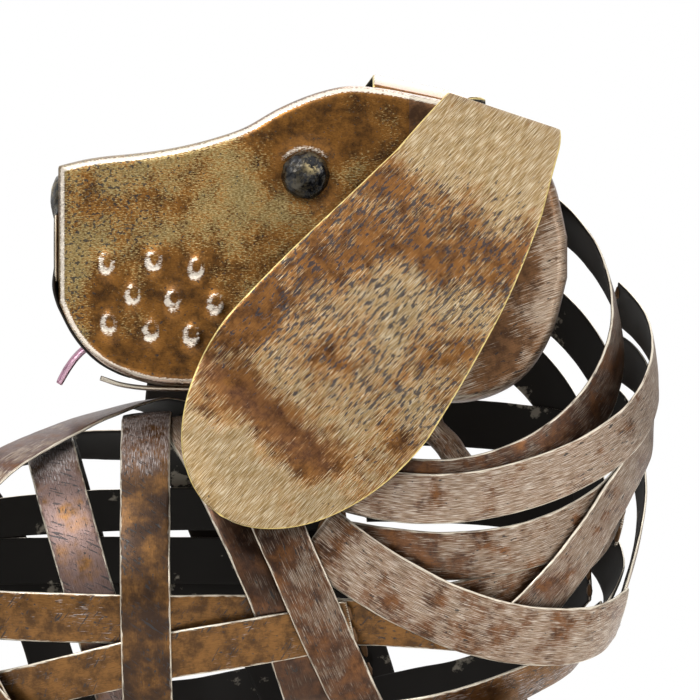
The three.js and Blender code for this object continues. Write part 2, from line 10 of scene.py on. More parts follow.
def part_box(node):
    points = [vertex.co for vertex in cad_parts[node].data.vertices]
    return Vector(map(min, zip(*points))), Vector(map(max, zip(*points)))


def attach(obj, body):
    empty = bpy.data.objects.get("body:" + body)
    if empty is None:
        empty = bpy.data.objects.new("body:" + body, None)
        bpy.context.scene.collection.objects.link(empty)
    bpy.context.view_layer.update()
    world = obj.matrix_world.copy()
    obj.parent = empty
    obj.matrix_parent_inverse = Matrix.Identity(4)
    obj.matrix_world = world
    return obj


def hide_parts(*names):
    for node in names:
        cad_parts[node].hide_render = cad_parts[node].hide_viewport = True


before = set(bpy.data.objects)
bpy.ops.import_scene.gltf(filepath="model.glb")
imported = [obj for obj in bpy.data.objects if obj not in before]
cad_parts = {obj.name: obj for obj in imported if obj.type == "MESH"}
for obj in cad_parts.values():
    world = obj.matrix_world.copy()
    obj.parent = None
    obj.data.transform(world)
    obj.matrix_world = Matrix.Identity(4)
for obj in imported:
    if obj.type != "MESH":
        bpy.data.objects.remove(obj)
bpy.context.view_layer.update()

# ---------------------------------------------------------------------------------------------
# The studio: a pale floor, a long lens level with the dog's side, and soft boxes overhead, in
# front and behind. The walls are white to the eye and graded from grey to white in the metal.
MM = 0.001
VIEW_WIDTH = 178.5 * MM
LENS = 300.0
SENSOR = 36.0
FLOOR_RADIUS = 1.15
FLOOR_DEPTH = 0.2 * MM
snout_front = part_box("head")[0][0]
VIEW_CENTRE = Vector((snout_front + 73.6 * MM, 0, 177.7 * MM))


def paint(colour, alpha=1.0):
    """An sRGB hex colour as linear red, green, blue and alpha."""
    parts = [int(colour[i:i + 2], 16) / 255 for i in (1, 3, 5)]
    return [c / 12.92 if c < 0.04045 else ((c + 0.055) / 1.055) ** 2.4 for c in parts] + [alpha]


def add(tree, kind, sockets=None, **settings):
    """Adds a node with its settings, and its sockets set to values or linked to other sockets."""
    node = tree.nodes.new(kind)
    for name, value in settings.items():
        setattr(node, name, value)
    for name, value in (sockets or {}).items():
        if isinstance(value, bpy.types.NodeSocket):
            tree.links.new(value, node.inputs[name])
        else:
            node.inputs[name].default_value = value
    return node


scene = bpy.context.scene
scene.view_settings.view_transform = "Standard"

camera = bpy.data.objects.new("camera", bpy.data.cameras.new("camera"))
scene.collection.objects.link(camera)
camera.data.lens = LENS
camera.data.sensor_width = SENSOR
camera.location = VIEW_CENTRE - Vector((0, VIEW_WIDTH * LENS / SENSOR, 0))
camera.rotation_euler = (math.pi / 2, 0, 0)
camera.data.clip_end = 50
scene.camera = camera

world = bpy.data.worlds.new("studio")
scene.world = world
world.use_nodes = True
sky = world.node_tree
sky.nodes.clear()
direction = add(sky, "ShaderNodeTexCoord").outputs["Generated"]
height = add(sky, "ShaderNodeSeparateXYZ", {0: direction}).outputs["Z"]
grade = add(sky, "ShaderNodeMapRange", {"Value": height, "From Min": -0.4, "From Max": 0.85,
                                        "To Min": 0.07, "To Max": 1.3}, interpolation_type="SMOOTHSTEP")
walls = add(sky, "ShaderNodeBackground", {"Color": (1, 1, 1, 1), "Strength": grade.outputs[0]})
white = add(sky, "ShaderNodeBackground", {"Color": (1, 1, 1, 1), "Strength": 1.0})
seen = add(sky, "ShaderNodeLightPath").outputs["Is Camera Ray"]
chosen = add(sky, "ShaderNodeMixShader", {0: seen, 1: walls.outputs[0], 2: white.outputs[0]})
add(sky, "ShaderNodeOutputWorld", {"Surface": chosen.outputs[0]})


def soft_box(name, place, size, power):
    """A square soft box aimed at the middle of the dog."""
    lamp = bpy.data.objects.new(name, bpy.data.lights.new(name, "AREA"))
    scene.collection.objects.link(lamp)
    lamp.data.size = size
    lamp.data.energy = power
    lamp.location = place
    lamp.rotation_euler = (VIEW_CENTRE - Vector(place)).to_track_quat("-Z", "Y").to_euler()


soft_box("key_box", (-0.7, -1.0, 1.2), 0.7, 12)
soft_box("fill_box", (1.2, -1.0, 0.6), 0.7, 6)
soft_box("back_box", (0.4, 1.3, 1.0), 0.9, 7)

floor_mesh = bpy.data.meshes.new("floor")
turns = np.linspace(0, 2 * math.pi, 97)[:-1]
floor_rim = [(FLOOR_RADIUS * math.cos(a), FLOOR_RADIUS * math.sin(a), -FLOOR_DEPTH) for a in turns]
floor_mesh.from_pydata(floor_rim, [], [list(range(len(turns)))])
floor = bpy.data.objects.new("floor", floor_mesh)
scene.collection.objects.link(floor)
# Matt white board: it takes only a soft shadow under the paws.
board = bpy.data.materials.new("matt_white_board")
board.use_nodes = True
board_shader = board.node_tree.nodes["Principled BSDF"]
board_shader.inputs["Base Color"].default_value = paint("#f2f1ee")
board_shader.inputs["Roughness"].default_value = 0.6
floor_mesh.materials.append(board)

# ---------------------------------------------------------------------------------------------
# The strips of the body: flat iron strip, bent cold round the chest and barrel, sheared square
# and welded where it crosses. Lacquered bronze, then dry-brushed; black inside, bare at the rims.
SHEET = 0.8 * MM
CROWN = 0.45 * MM
STEP = 1.3 * MM
# Across a strip, from edge to edge: the last two columns at each side round off its corners.
SECTION = np.array([-1, -0.975, -0.92, -0.8, -0.6, -0.35, 0, 0.35, 0.6, 0.8, 0.92, 0.975, 1])
ROUND_OFF = np.array([0.38, 0.1, 0, 0, 0, 0, 0, 0, 0, 0, 0, 0.1, 0.38])
# How much dry brush and how much mauve each strip shows, from none to all; the rest are plain.
PLAIN_FINISH = (0.4, 0.2)
STRIP_FINISH = {
    "collar_band_1": (0.25, 0.2), "collar_band_2": (0.62, 0.45), "collar_band_3": (0.5, 0.4),
    "collar_band_4": (0.42, 0.3), "chest_band_1": (0.56, 0.25), "chest_band_2": (0.46, 0.15),
    "chest_band_3": (0.4, 0.1), "chest_band_4": (0.25, 0.1), "barrel_hoop_1": (0.02, 0.0),
    "barrel_hoop_2": (0.16, 0.95), "barrel_hoop_3": (0.2, 0.2), "barrel_hoop_4": (0.34, 0.15),
    "flank_band_1": (0.1, 0.0), "flank_band_2": (0.12, 0.0), "spine_band": (0.3, 0.9),
    "rump_band_1": (0.12, 0.1), "rump_band_2": (0.15, 0.1), "belly_band": (0.15, 0.1),
}
# How much painted shade each strip takes: patchy dark brown in the deeper places of the body, under the head
# and ear.
PLAIN_PAINTED_SHADE = 0.1
STRIP_PAINTED_SHADE = {"barrel_hoop_1": 0.95, "barrel_hoop_3": 0.7, "barrel_hoop_4": 0.45, "collar_band_1": 0.6,
              "collar_band_3": 0.3, "chest_band_2": 0.25, "barrel_hoop_2": 0.35}
# The first collar strip runs on past its last crossing, to a free end.
FREE_END = {"collar_band_1": 17 * MM}
# The strips that were left smooth, with few brush marks.
SMOOTH_STRIPS = ("barrel_hoop_1", "barrel_hoop_2", "flank_band_1", "flank_band_2", "rump_band_1",
                 "rump_band_2", "belly_band", "chest_band_4")


def unit(vectors):
    return vectors / np.linalg.norm(vectors, axis=-1, keepdims=True)


def ease(value, low, high):
    """Zero below low, one above high, and a smooth rise between."""
    part = np.clip((np.asarray(value, float) - low) / (high - low), 0, 1)
    return part * part * (3 - 2 * part)


def rough(places, size, seed=0.0):
    """Smooth unevenness, about -1 to 1, with bumps of the given size."""
    flat = np.asarray(places, float).reshape(-1, 3) / size + seed
    return np.array([noise.noise(p) for p in flat]).reshape(np.asarray(places).shape[:-1])


def corners(name):
    """A CAD node's own corners, met once each, and its triangles."""
    shape = bmesh.new()
    shape.from_mesh(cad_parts[name].data)
    bmesh.ops.remove_doubles(shape, verts=shape.verts, dist=1e-6)
    shape.verts.index_update()
    places = np.array([v.co[:] for v in shape.verts])
    triangles = [[v.index for v in face.verts] for face in shape.faces]
    shape.free()
    return places, triangles


def strip_rows(name, core, thick=1.3 * MM):
    """The middle, the direction across and the direction out at each station of a CAD strip."""
    places, triangles = corners(name)
    # Two corners of a triangle closer than thick lie through the sheet from each other: a rung.
    partner = {}
    for triangle in triangles:
        for i, j in zip(triangle, triangle[1:] + triangle[:1]):
            if np.linalg.norm(places[i] - places[j]) < thick:
                partner[i] = j
                partner[j] = i
    rung = {i: min(i, j) for i, j in partner.items()}
    links = {r: set() for r in rung.values()}
    same_face = {i: set() for i in partner}
    for triangle in triangles:
        rungs = {rung[i] for i in triangle}
        if len(rungs) == 2:
            one, two = rungs
            links[one].add(two)
            links[two].add(one)
        else:
            for i in triangle:
                same_face[i].update(triangle)
    # The corners on the same face of the sheet as the first corner.
    first_face = {0}
    waiting = [0]
    while waiting:
        for i in same_face[waiting.pop()]:
            if i not in first_face:
                first_face.add(i)
                waiting.append(i)
    # The rungs in order, once round the strip's rim.
    order = [next(iter(links))]
    before = None
    while True:
        onward = [r for r in links[order[-1]] if r != before]
        before = order[-1]
        if onward[0] == order[0] or len(order) == len(links):
            break
        order.append(onward[0])
    one = np.array([places[r if r in first_face else partner[r]] for r in order])
    two = np.array([places[partner[r] if r in first_face else r] for r in order])
    middle = (one + two) / 2
    # The widest gap between rungs is the sheared end, where the two long edges begin.
    gaps = np.linalg.norm(np.roll(middle, -1, axis=0) - middle, axis=1)
    start = (int(np.argsort(gaps)[-1]) + 1) % len(order)
    one, two, middle = [np.roll(a, -start, axis=0) for a in (one, two, middle)]
    half = len(order) // 2
    left, right = middle[:half], middle[half:][::-1]
    out = (two - one)[:half] + (two - one)[half:][::-1]
    centre = (left + right) / 2
    # Out is away from the core, the line through the middle of what the strip is bent round.
    low, high = np.array(core[0]), np.array(core[1])
    along = np.clip(((centre - low) @ (high - low)) / ((high - low) @ (high - low)), 0, 1)
    away = centre - (low + along[:, None] * (high - low))
    if np.sum(away * out) < 0:
        out = -out
    return centre, (right - left) / 2, unit(out)


def smooth(rows, spacing):
    """Rows of numbers at even steps along a smooth curve; each row's first three are its place."""
    rows = np.asarray(rows, float)
    lengths = np.linalg.norm(np.diff(rows[:, :3], axis=0), axis=1)
    travelled = np.concatenate([[0], np.cumsum(lengths)])
    at = np.linspace(0, travelled[-1], max(2, int(travelled[-1] / spacing) + 1))
    i = np.clip(np.searchsorted(travelled, at, side="right") - 1, 0, len(lengths) - 1)
    t = ((at - travelled[i]) / lengths[i])[:, None]
    padded = np.vstack([2 * rows[0] - rows[1], rows, 2 * rows[-1] - rows[-2]])
    a, b, c, d = padded[i], padded[i + 1], padded[i + 2], padded[i + 3]
    curve = 2 * b + (c - a) * t + (2 * a - 5 * b + 4 * c - d) * t ** 2
    return at, 0.5 * (curve + (3 * b - a - 3 * c + d) * t ** 3)


def skin_piece(name, places, faces, marks, finishes, face_finish, stands_for):
    """One piece from its points and faces, with its marks of wear and of painted light and shade, its
    finishes, slot and CAD nodes.
    """
    mesh = bpy.data.meshes.new(name)
    mesh.from_pydata([tuple(p) for p in places], [], [list(map(int, f)) for f in faces])
    mesh.polygons.foreach_set("material_index", np.asarray(face_finish, np.int32))
    for finish in finishes:
        mesh.materials.append(finish)
    for mark, values in marks.items():
        if mark == "sheet":
            continue
        layer = mesh.attributes.new(mark, "FLOAT", "POINT")
        layer.data.foreach_set("value", np.asarray(values, np.float32).ravel())
    if "sheet" in marks:
        layer = mesh.uv_layers.new(name="sheet")
        loops = np.empty(len(mesh.loops), np.int32)
        mesh.loops.foreach_get("vertex_index", loops)
        layer.data.foreach_set("uv", np.asarray(marks["sheet"], np.float32)[loops].ravel())
    shape = bmesh.new()
    shape.from_mesh(mesh)
    bmesh.ops.recalc_face_normals(shape, faces=shape.faces)
    shape.to_mesh(mesh)
    shape.free()
    mesh.shade_smooth()
    piece = bpy.data.objects.new(name, mesh)
    scene.collection.objects.link(piece)
    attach(piece, "root")
    if stands_for:
        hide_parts(*stands_for)
    return piece


def sheet_piece(name, outer, inner, marks, finishes, stands_for):
    """A piece of sheet from the grids of points on its outer and inner faces."""
    rows, columns = outer.shape[:2]
    grid = np.arange(rows * columns).reshape(rows, columns)
    front = np.stack([grid[:-1, :-1], grid[:-1, 1:], grid[1:, 1:], grid[1:, :-1]], -1).reshape(-1, 4)
    border = np.concatenate([grid[0, :-1], grid[:-1, -1], grid[-1, :0:-1], grid[:0:-1, 0]])
    onward = np.roll(border, -1)
    back = front[:, ::-1] + grid.size
    rim = np.stack([border, border + grid.size, onward + grid.size, onward], -1)
    places = np.vstack([outer.reshape(-1, 3), inner.reshape(-1, 3)])
    both = {}
    for mark, values in marks.items():
        flat = np.asarray(values, float).reshape(grid.size, -1)
        both[mark] = np.vstack([flat, flat])
    face_finish = [0] * len(front) + [1] * len(back) + [0] * len(rim)
    faces = np.vstack([front, back, rim])
    return skin_piece(name, places, faces, both, finishes, face_finish, stands_for)


def worn_lacquer(name, browns, mauve, brush, dash, angle=0.0, speck="#1a1512", bare="#d9cfbd",
                 gloss=0.36, scored=0.0, patchy=1.4):
    """Bronze lacquer over iron, dry-brushed with metallic paint. browns: deep and light; brush:
    its main and its brightest colour; dash: length and width of a brush mark in millimetres;
    angle: how far the brushing is turned from the sheet's length; scored: how far it is gouged
    through to dark iron, from 0 to 1; patchy: how unevenly the brush took, in broad patches."""
    finish = bpy.data.materials.new(name)
    finish.use_nodes = True
    tree = finish.node_tree
    shader = tree.nodes["Principled BSDF"]
    sheet = add(tree, "ShaderNodeUVMap", uv_map="sheet").outputs[0]
    flat = add(tree, "ShaderNodeVectorMath", {0: sheet, 1: (1 / MM, 1 / MM, 1 / MM)},
               operation="MULTIPLY").outputs[0]
    wear_and_light = {mark: add(tree, "ShaderNodeAttribute", attribute_name=mark).outputs["Fac"]
            for mark in ("brushed", "tint", "rim", "speckled", "painted_shade")}

    def maths(operation, first, second):
        return add(tree, "ShaderNodeMath", {0: first, 1: second}, operation=operation).outputs[0]

    def cloud(size, detail, roughness, stretch=None, turn=angle):
        """Soft noise with bumps of the given size in millimetres, stretched along the brushing."""
        where = flat
        if stretch:
            turned = add(tree, "ShaderNodeMapping", {"Vector": flat, "Rotation": (0, 0, turn)})
            shrink = (1 / stretch[0], 1 / stretch[1], 1)
            where = add(tree, "ShaderNodeVectorMath", {0: turned.outputs[0], 1: shrink},
                        operation="MULTIPLY").outputs[0]
        return add(tree, "ShaderNodeTexNoise", {"Vector": where, "Scale": 1 / size, "Detail": detail,
                                                "Roughness": roughness}).outputs[0]

    def range_of(value, low, high):
        return add(tree, "ShaderNodeMapRange", {"Value": value, "From Min": low, "From Max": high},
                   interpolation_type="SMOOTHSTEP").outputs[0]

    def blend(share, under, over):
        return add(tree, "ShaderNodeMix", {0: share, 6: under, 7: over}, data_type="RGBA").outputs[2]

    # Patches where the brush took, its strokes and the hairs in them, blotches in the lacquer,
    # pits, and gouges on the slant.
    patches = cloud(8, 4, 0.6)
    strokes = cloud(1, 3, 0.6, dash)
    hairs = cloud(1, 2, 0.55, (dash[0] * 0.8, dash[1] * 0.65))
    blotches = cloud(5, 5, 0.7)
    pits = cloud(1, 3, 0.6, (dash[0] * 0.4 + 0.7, dash[1] + 0.6))
    gouges = cloud(1, 3, 0.6, (5.5, 0.7), angle + 0.9)
    cover = maths("ADD", wear_and_light["brushed"], maths("MULTIPLY", maths("SUBTRACT", patches, 0.5), patchy))
    reach = maths("ADD", cover, maths("MULTIPLY", maths("SUBTRACT", strokes, 0.5), 1.7))
    brushed = range_of(reach, 0.36, 0.66)
    bright = maths("MULTIPLY", brushed, range_of(hairs, 0.48, 0.66))
    drawn = maths("MULTIPLY", range_of(hairs, 0.5, 0.36), 0.5)
    dots = range_of(maths("ADD", pits, maths("MULTIPLY", wear_and_light["speckled"], 0.16)), 0.68, 0.73)
    gouged = maths("MULTIPLY", range_of(gouges, 0.57, 0.62), range_of(patches, 0.47, 0.55))
    dark = maths("MAXIMUM", maths("MULTIPLY", dots, 0.88), maths("MULTIPLY", gouged, scored))
    fray = maths("MULTIPLY", maths("SUBTRACT", hairs, 0.5), 0.9)
    ragged = range_of(maths("ADD", wear_and_light["rim"], fray), 0.5, 0.8)

    colour = blend(range_of(blotches, 0.34, 0.62), paint(browns[0]), paint(browns[1]))
    colour = blend(maths("MULTIPLY", wear_and_light["tint"], range_of(patches, 0.32, 0.55)), colour, paint(mauve))
    colour = blend(maths("MULTIPLY", brushed, 0.8), colour, paint(brush[0]))
    colour = blend(maths("MULTIPLY", bright, 0.55), colour, paint(brush[1]))
    colour = blend(drawn, colour, paint(browns[0]))
    # Painted shade: patchy dark brown over the strips that lie deep in the body and under the head and ear.
    painted_shade = maths("MULTIPLY", wear_and_light["painted_shade"], range_of(patches, 0.3, 0.6))
    colour = blend(painted_shade, colour, paint("#33241b"))
    colour = blend(dark, colour, paint(speck))
    colour = blend(ragged, colour, paint(bare))
    smoothness = maths("ADD", maths("MULTIPLY", brushed, 0.14), maths("MULTIPLY", blotches, 0.14))
    relief = maths("ADD", maths("MULTIPLY", brushed, 0.4), maths("MULTIPLY", hairs, 0.35))
    relief = maths("SUBTRACT", maths("ADD", relief, maths("MULTIPLY", blotches, 0.9)), dark)
    bump = add(tree, "ShaderNodeBump", {"Strength": 0.6, "Distance": 0.12 * MM, "Height": relief}).outputs[0]
    tree.links.new(colour, shader.inputs["Base Color"])
    tree.links.new(maths("ADD", smoothness, gloss - 0.12), shader.inputs["Roughness"])
    tree.links.new(maths("SUBTRACT", 0.85, maths("MULTIPLY", dark, 0.6)), shader.inputs["Metallic"])
    tree.links.new(bump, shader.inputs["Normal"])
    shader.inputs["Coat Weight"].default_value = 0.12
    shader.inputs["Coat Roughness"].default_value = 0.25
    return finish


# Brown bronze lacquer, dry-brushed along the strip: fine champagne dashes over a warm dark ground.
brushed_bronze = worn_lacquer("dry_brushed_bronze_lacquer", ("#3c2617", "#764d2c"), "#6e5b58",
                              ("#9c846d", "#efe6da"), (4.6, 0.22), patchy=1.9)
# The same lacquer left smooth: olive brown, few brush marks, gouged on the slant to dark iron.
smooth_bronze = worn_lacquer("smooth_olive_bronze_lacquer", ("#4b331b", "#80592e"), "#7c6763",
                             ("#978a84", "#e6e2e2"), (3.0, 0.3), speck="#1b1a1c", gloss=0.42, scored=0.85)

# Black primer inside: nearly black and dull, with cream-grey patches where filler was wiped on.
black_primer = bpy.data.materials.new("black_primer")
black_primer.use_nodes = True
primer = black_primer.node_tree
primer_place = add(primer, "ShaderNodeTexCoord").outputs["Object"]
FILLER_PATCH = 13.333 * MM
filler = add(primer, "ShaderNodeTexNoise", {"Vector": primer_place, "Scale": 1 / FILLER_PATCH, "Detail": 5,
                                            "Roughness": 0.65}).outputs[0]
wiped = add(primer, "ShaderNodeMapRange", {"Value": filler, "From Min": 0.62, "From Max": 0.66}).outputs[0]
primer_colour = add(primer, "ShaderNodeMix", {0: wiped, 6: paint("#17130f"), 7: paint("#8c8578")},
                    data_type="RGBA")
primer_shader = primer.nodes["Principled BSDF"]
primer.links.new(primer_colour.outputs[2], primer_shader.inputs["Base Color"])
primer_shader.inputs["Roughness"].default_value = 0.6
primer_shader.inputs["Specular IOR Level"].default_value = 0.3

# The core: a line from the middle of the barrel to the middle of the chest.
barrel_low, barrel_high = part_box("barrel_hoop_1")
chest_low, chest_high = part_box("collar_band_2")
CORE = [[(barrel_low[0] + barrel_high[0]) / 2, 0, (barrel_low[2] + barrel_high[2]) / 2],
        [(chest_low[0] + chest_high[0]) / 2, 0, (chest_low[2] + chest_high[2]) / 2]]
# The place, the directions across and out, and the half width at each sheared end, for the welds.
strip_ends = []


def bent_strip(name, node, core, seed, brush, tint, crown=CROWN, longer=0.0):
    """A fine strip on the stations of a CAD strip, crowned, round at the edges and uneven; its
    higher end runs on by longer."""
    centre, across, out = strip_rows(node, core)
    if centre[0][2] > centre[-1][2]:
        centre, across, out = centre[::-1], across[::-1], out[::-1]
    if longer:
        onward = unit(centre[-1] - centre[-2]) * longer
        lean = unit(centre[-1] - 2 * centre[-2] + centre[-3])
        centre = np.vstack([centre, centre[-1] + onward * 0.5 + lean * longer * 0.06,
                            centre[-1] + onward + lean * longer * 0.22])
        across = np.vstack([across, across[-1:], across[-1:]])
        out = np.vstack([out, out[-1:], out[-1:]])
    at, rows = smooth(np.hstack([centre, across, out]), STEP)
    middle, side, out = rows[:, :3], rows[:, 3:6], rows[:, 6:9]
    half = np.linalg.norm(side, axis=1)[:, None]
    side = unit(side)
    out = unit(out - side * np.sum(out * side, axis=1)[:, None])
    if not node.startswith("leg_wrap"):
        strip_ends.append((middle[0], side[0], out[0], half[0, 0]))
        strip_ends.append((middle[-1], side[-1], out[-1], half[-1, 0]))
    width = np.broadcast_to(SECTION, (len(at), len(SECTION))).copy()
    where = np.stack([at[:, None] + 0 * width, width * half, np.full(width.shape, seed)], -1)
    edge_wave = 1 + 0.022 * rough(np.stack([at, at * 0, at * 0 + seed], -1), 8 * MM)[:, None]
    flat = middle[:, None] + side[:, None] * (width * half * edge_wave)[..., None]
    dents = 0.22 * MM * rough(where, 10 * MM) + 0.06 * MM * rough(where, 2.6 * MM)
    height = crown * (1 - width ** 2) + dents
    thick = SHEET * (0.5 - ROUND_OFF)
    outer = flat + out[:, None] * (height + thick)[..., None]
    inner = flat + out[:, None] * (height - thick)[..., None]
    from_edge = (1 - np.abs(width)) * half
    from_end = np.minimum(at, at[-1] - at)[:, None] + from_edge * 0
    rim = np.maximum(1.1 - from_edge / (0.9 * MM), 0.9 * (1 - from_end / (0.9 * MM)))
    # The chest takes a little more brush. The barrel's top, along the back, takes much more brush,
    # with mauve: a painted sheen, the pale grey-lilac light that its curved top catches from above.
    chest = ease(middle[:, 0], 55 * MM, 85 * MM)[:, None]
    back = ease(middle[:, 2], 142 * MM, 152 * MM) * (1 - ease(middle[:, 0], 0, 20 * MM))
    back = back[:, None] * (node != "spine_band")
    marks = {
        "sheet": np.stack([where[..., 0] + seed * 0.37, where[..., 1] + seed * 0.11], -1),
        "rim": np.clip(rim, 0, 1) * (0.85 + 0.3 * rough(where, 6 * MM, 3.0)),
        "brushed": np.clip(brush + 0.12 * chest + 0.6 * back + 0.22 * rough(where, 22 * MM, 7.0), 0, 1),
        "tint": np.clip(tint + 0.6 * back, 0, 1) * np.ones(width.shape),
        "speckled": 0.3 + 0.5 * rough(where, 12 * MM, 11.0),
        "painted_shade": STRIP_PAINTED_SHADE.get(node, PLAIN_PAINTED_SHADE) * (1 - back) * np.ones(width.shape),
    }
    lacquer = smooth_bronze if node in SMOOTH_STRIPS else brushed_bronze
    sheet_piece(name, outer, inner, marks, [lacquer, black_primer], [node])


strips = sorted(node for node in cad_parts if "_band" in node or "_hoop" in node)
for number, node in enumerate(strips):
    brush, tint = STRIP_FINISH.get(node, PLAIN_FINISH)
    bent_strip("bent_" + node, node, CORE, number * 0.61, brush, tint, longer=FREE_END.get(node, 0.0))

# ---------------------------------------------------------------------------------------------
# The welds: short dark beads run along the sheared ends of the strips, where each is tacked to
# the strip under it, and at the seams of the closed hoops. Each bead is a rounded, uneven lump.
BEAD = (2.2 * MM, 0.9 * MM, 0.7 * MM)
BEAD_PLACES = (-0.45, 0.5)
# How many grains of scale would lie along the dog's length.
SCALE_GRAINS = 1400

# The scale left on a bead: dark brown and grainy, half dull and half shining.
weld_scale = bpy.data.materials.new("weld_scale")
weld_scale.use_nodes = True
weld_shader = weld_scale.node_tree.nodes["Principled BSDF"]
weld_shader.inputs["Metallic"].default_value = 0.7
weld_shader.inputs["Roughness"].default_value = 0.45
weld_grain = add(weld_scale.node_tree, "ShaderNodeTexNoise", {"Scale": SCALE_GRAINS, "Detail": 3})
weld_tone = add(weld_scale.node_tree, "ShaderNodeMix", {0: weld_grain.outputs[0], 6: paint("#2a1d14"),
                                                        7: paint("#7d5a38")}, data_type="RGBA")
weld_scale.node_tree.links.new(weld_tone.outputs[2], weld_shader.inputs["Base Color"])


def ring_faces(rings, sides):
    """The faces of a skin of rings, each with the same number of points, one above the other."""
    return [[i * sides + j, i * sides + (j + 1) % sides, (i + 1) * sides + (j + 1) % sides,
             (i + 1) * sides + j] for i in range(rings - 1) for j in range(sides)]


def capped_faces(rings, sides):
    """The faces of a skin of rings that is closed flat at both ends."""
    caps = [list(range(sides)), [(rings - 1) * sides + j for j in range(sides)]]
    return ring_faces(rings, sides) + caps


def ball_point(lift, turn):
    """A point on the unit ball."""
    return np.array([math.cos(lift) * math.cos(turn), math.cos(lift) * math.sin(turn), math.sin(lift)])


def lump(place, long_axis, wide_axis, high_axis, size, seed):
    """The points and faces of one rounded, uneven lump."""
    rings, sides = 7, 12
    points = []
    for i in range(rings + 1):
        for j in range(sides):
            ball = ball_point(math.pi * (i / rings - 0.5), 2 * math.pi * j / sides)
            ball *= 1 + 0.25 * noise.noise(Vector(ball * 1.7) + Vector((seed, seed, seed)))
            points.append(place + long_axis * ball[0] * size[0] + wide_axis * ball[1] * size[1]
                          + high_axis * ball[2] * size[2])
    return points, ring_faces(rings + 1, sides)


weld_points, weld_faces = [], []
for number, (place, side, out, half) in enumerate(strip_ends):
    for u in BEAD_PLACES:
        points, faces = lump(place + side * half * u, side, np.cross(side, out), out, BEAD, number + u)
        weld_faces += [[i + len(weld_points) for i in face] for face in faces]
        weld_points += points
skin_piece("weld_beads", weld_points, weld_faces, {}, [weld_scale], [0] * len(weld_faces), [])

# ---------------------------------------------------------------------------------------------
# The head: one folded form of sheet, two flat cheeks with rolled edges joined by a band that
# makes the brow, skull and chin. Nine whisker dimples are punched outwards in each cheek.
ROLL = 2.6 * MM
SNOUT_ROLL = 4.5 * MM
BAND_CROWN = 0.7 * MM
HEAD_STEP = 0.85 * MM
DIMPLE_HEIGHT = 1.3 * MM
DIMPLE_RADIUS = 2.1 * MM
PIT_DEPTH = 0.9 * MM
PIT_RADIUS = 0.9 * MM
# Each dimple's place in millimetres behind the snout and above the chin, from the top row down.
WHISKERS = [(12.1, 34.5), (24.1, 35.2), (34.8, 33.2), (18.8, 26.6), (29.0, 25.3), (39.7, 24.3),
            (12.7, 19.4), (23.4, 17.6), (33.6, 16.4)]
head_low, head_high = [np.array(c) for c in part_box("head")]

# The side view's outline and the half width, from the stations of the CAD head.
head_points, _ = corners("head")
stations = sorted({round(float(p[0]), 6) for p in head_points})
profile = []
for x in stations:
    ring = head_points[np.abs(head_points[:, 0] - x) < 2e-6]
    profile.append([x, ring[:, 2].max(), ring[:, 2].min(), np.abs(ring[:, 1]).max()])
_, profile = smooth(profile, HEAD_STEP)
head_x, head_top, head_bottom, head_half = profile.T
head_rise = np.linspace(0, 1, 96)
head_rise = 0.6 * head_rise + 0.4 * (0.5 - 0.5 * np.cos(math.pi * head_rise))
cheek_x = np.broadcast_to(head_x[:, None], (len(head_x), len(head_rise)))
cheek_z = head_bottom[:, None] + (head_top - head_bottom)[:, None] * head_rise

# How far each point of a cheek lies from the outline, for the rolled edge.
outline = np.concatenate([
    np.stack([head_x, head_bottom], -1), np.stack([cheek_x[-1], cheek_z[-1]], -1),
    np.stack([head_x, head_top], -1)[::-1], np.stack([cheek_x[0], cheek_z[0]], -1)[::-1]])
flat_place = np.stack([cheek_x, cheek_z], -1).reshape(-1, 2)
from_outline = np.full(len(flat_place), 1.0)
for start, end in zip(outline, np.roll(outline, -1, axis=0)):
    run = end - start
    part = np.clip((flat_place - start) @ run / max(run @ run, 1e-14), 0, 1)
    gap = np.linalg.norm(flat_place - start - part[:, None] * run, axis=1)
    from_outline = np.minimum(from_outline, gap)
from_outline = from_outline.reshape(cheek_x.shape)
inset = ROLL - np.sqrt(np.maximum(ROLL ** 2 - np.maximum(ROLL - from_outline, 0) ** 2, 0))
past_front = np.maximum(SNOUT_ROLL - (cheek_x - head_x[0]), 0)
inset = np.maximum(inset, 0.8 * (SNOUT_ROLL - np.sqrt(SNOUT_ROLL ** 2 - past_front ** 2)))

# Dimples, with a pit in each and a bare ring round the pit; soft dents; and a dish by the eye.
eye_place = (np.array(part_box("eye_near")[0]) + np.array(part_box("eye_near")[1])) / 2
from_eye = np.hypot(cheek_x - eye_place[0], cheek_z - eye_place[2])
dimples = np.zeros(cheek_x.shape)
dimple_rim = np.zeros(cheek_x.shape)
for behind, above in WHISKERS:
    aft = cheek_x - head_low[0] - behind * MM
    rise = cheek_z - head_low[2] - above * MM
    gap = np.hypot(aft, rise / 1.35)
    dimples += DIMPLE_HEIGHT * np.exp(-(gap / DIMPLE_RADIUS) ** 2)
    dimples -= PIT_DEPTH * np.exp(-(gap / PIT_RADIUS) ** 2)
    hollow = np.hypot(aft - 0.3 * MM, (rise - 0.6 * MM) / 1.5)
    dimple_rim += np.exp(-(gap / (2.5 * MM)) ** 4) * (1 - np.exp(-(hollow / (1.05 * MM)) ** 2))
where = np.stack([cheek_x, cheek_z, np.zeros(cheek_x.shape)], -1)
dimple_rim *= 0.85 + 0.5 * rough(where * np.array([0.4, 1.6, 1.0]), 1.2 * MM)
dents = 0.35 * MM * rough(where, 17 * MM) + 0.1 * MM * rough(where, 5 * MM)
dish = -0.9 * MM * np.exp(-((from_eye - 6 * MM) / (3.2 * MM)) ** 2)
inside = ease(from_outline, 0, 5 * MM)
cheek_out = head_half[:, None] - inset + (dimples + dents + dish) * inside

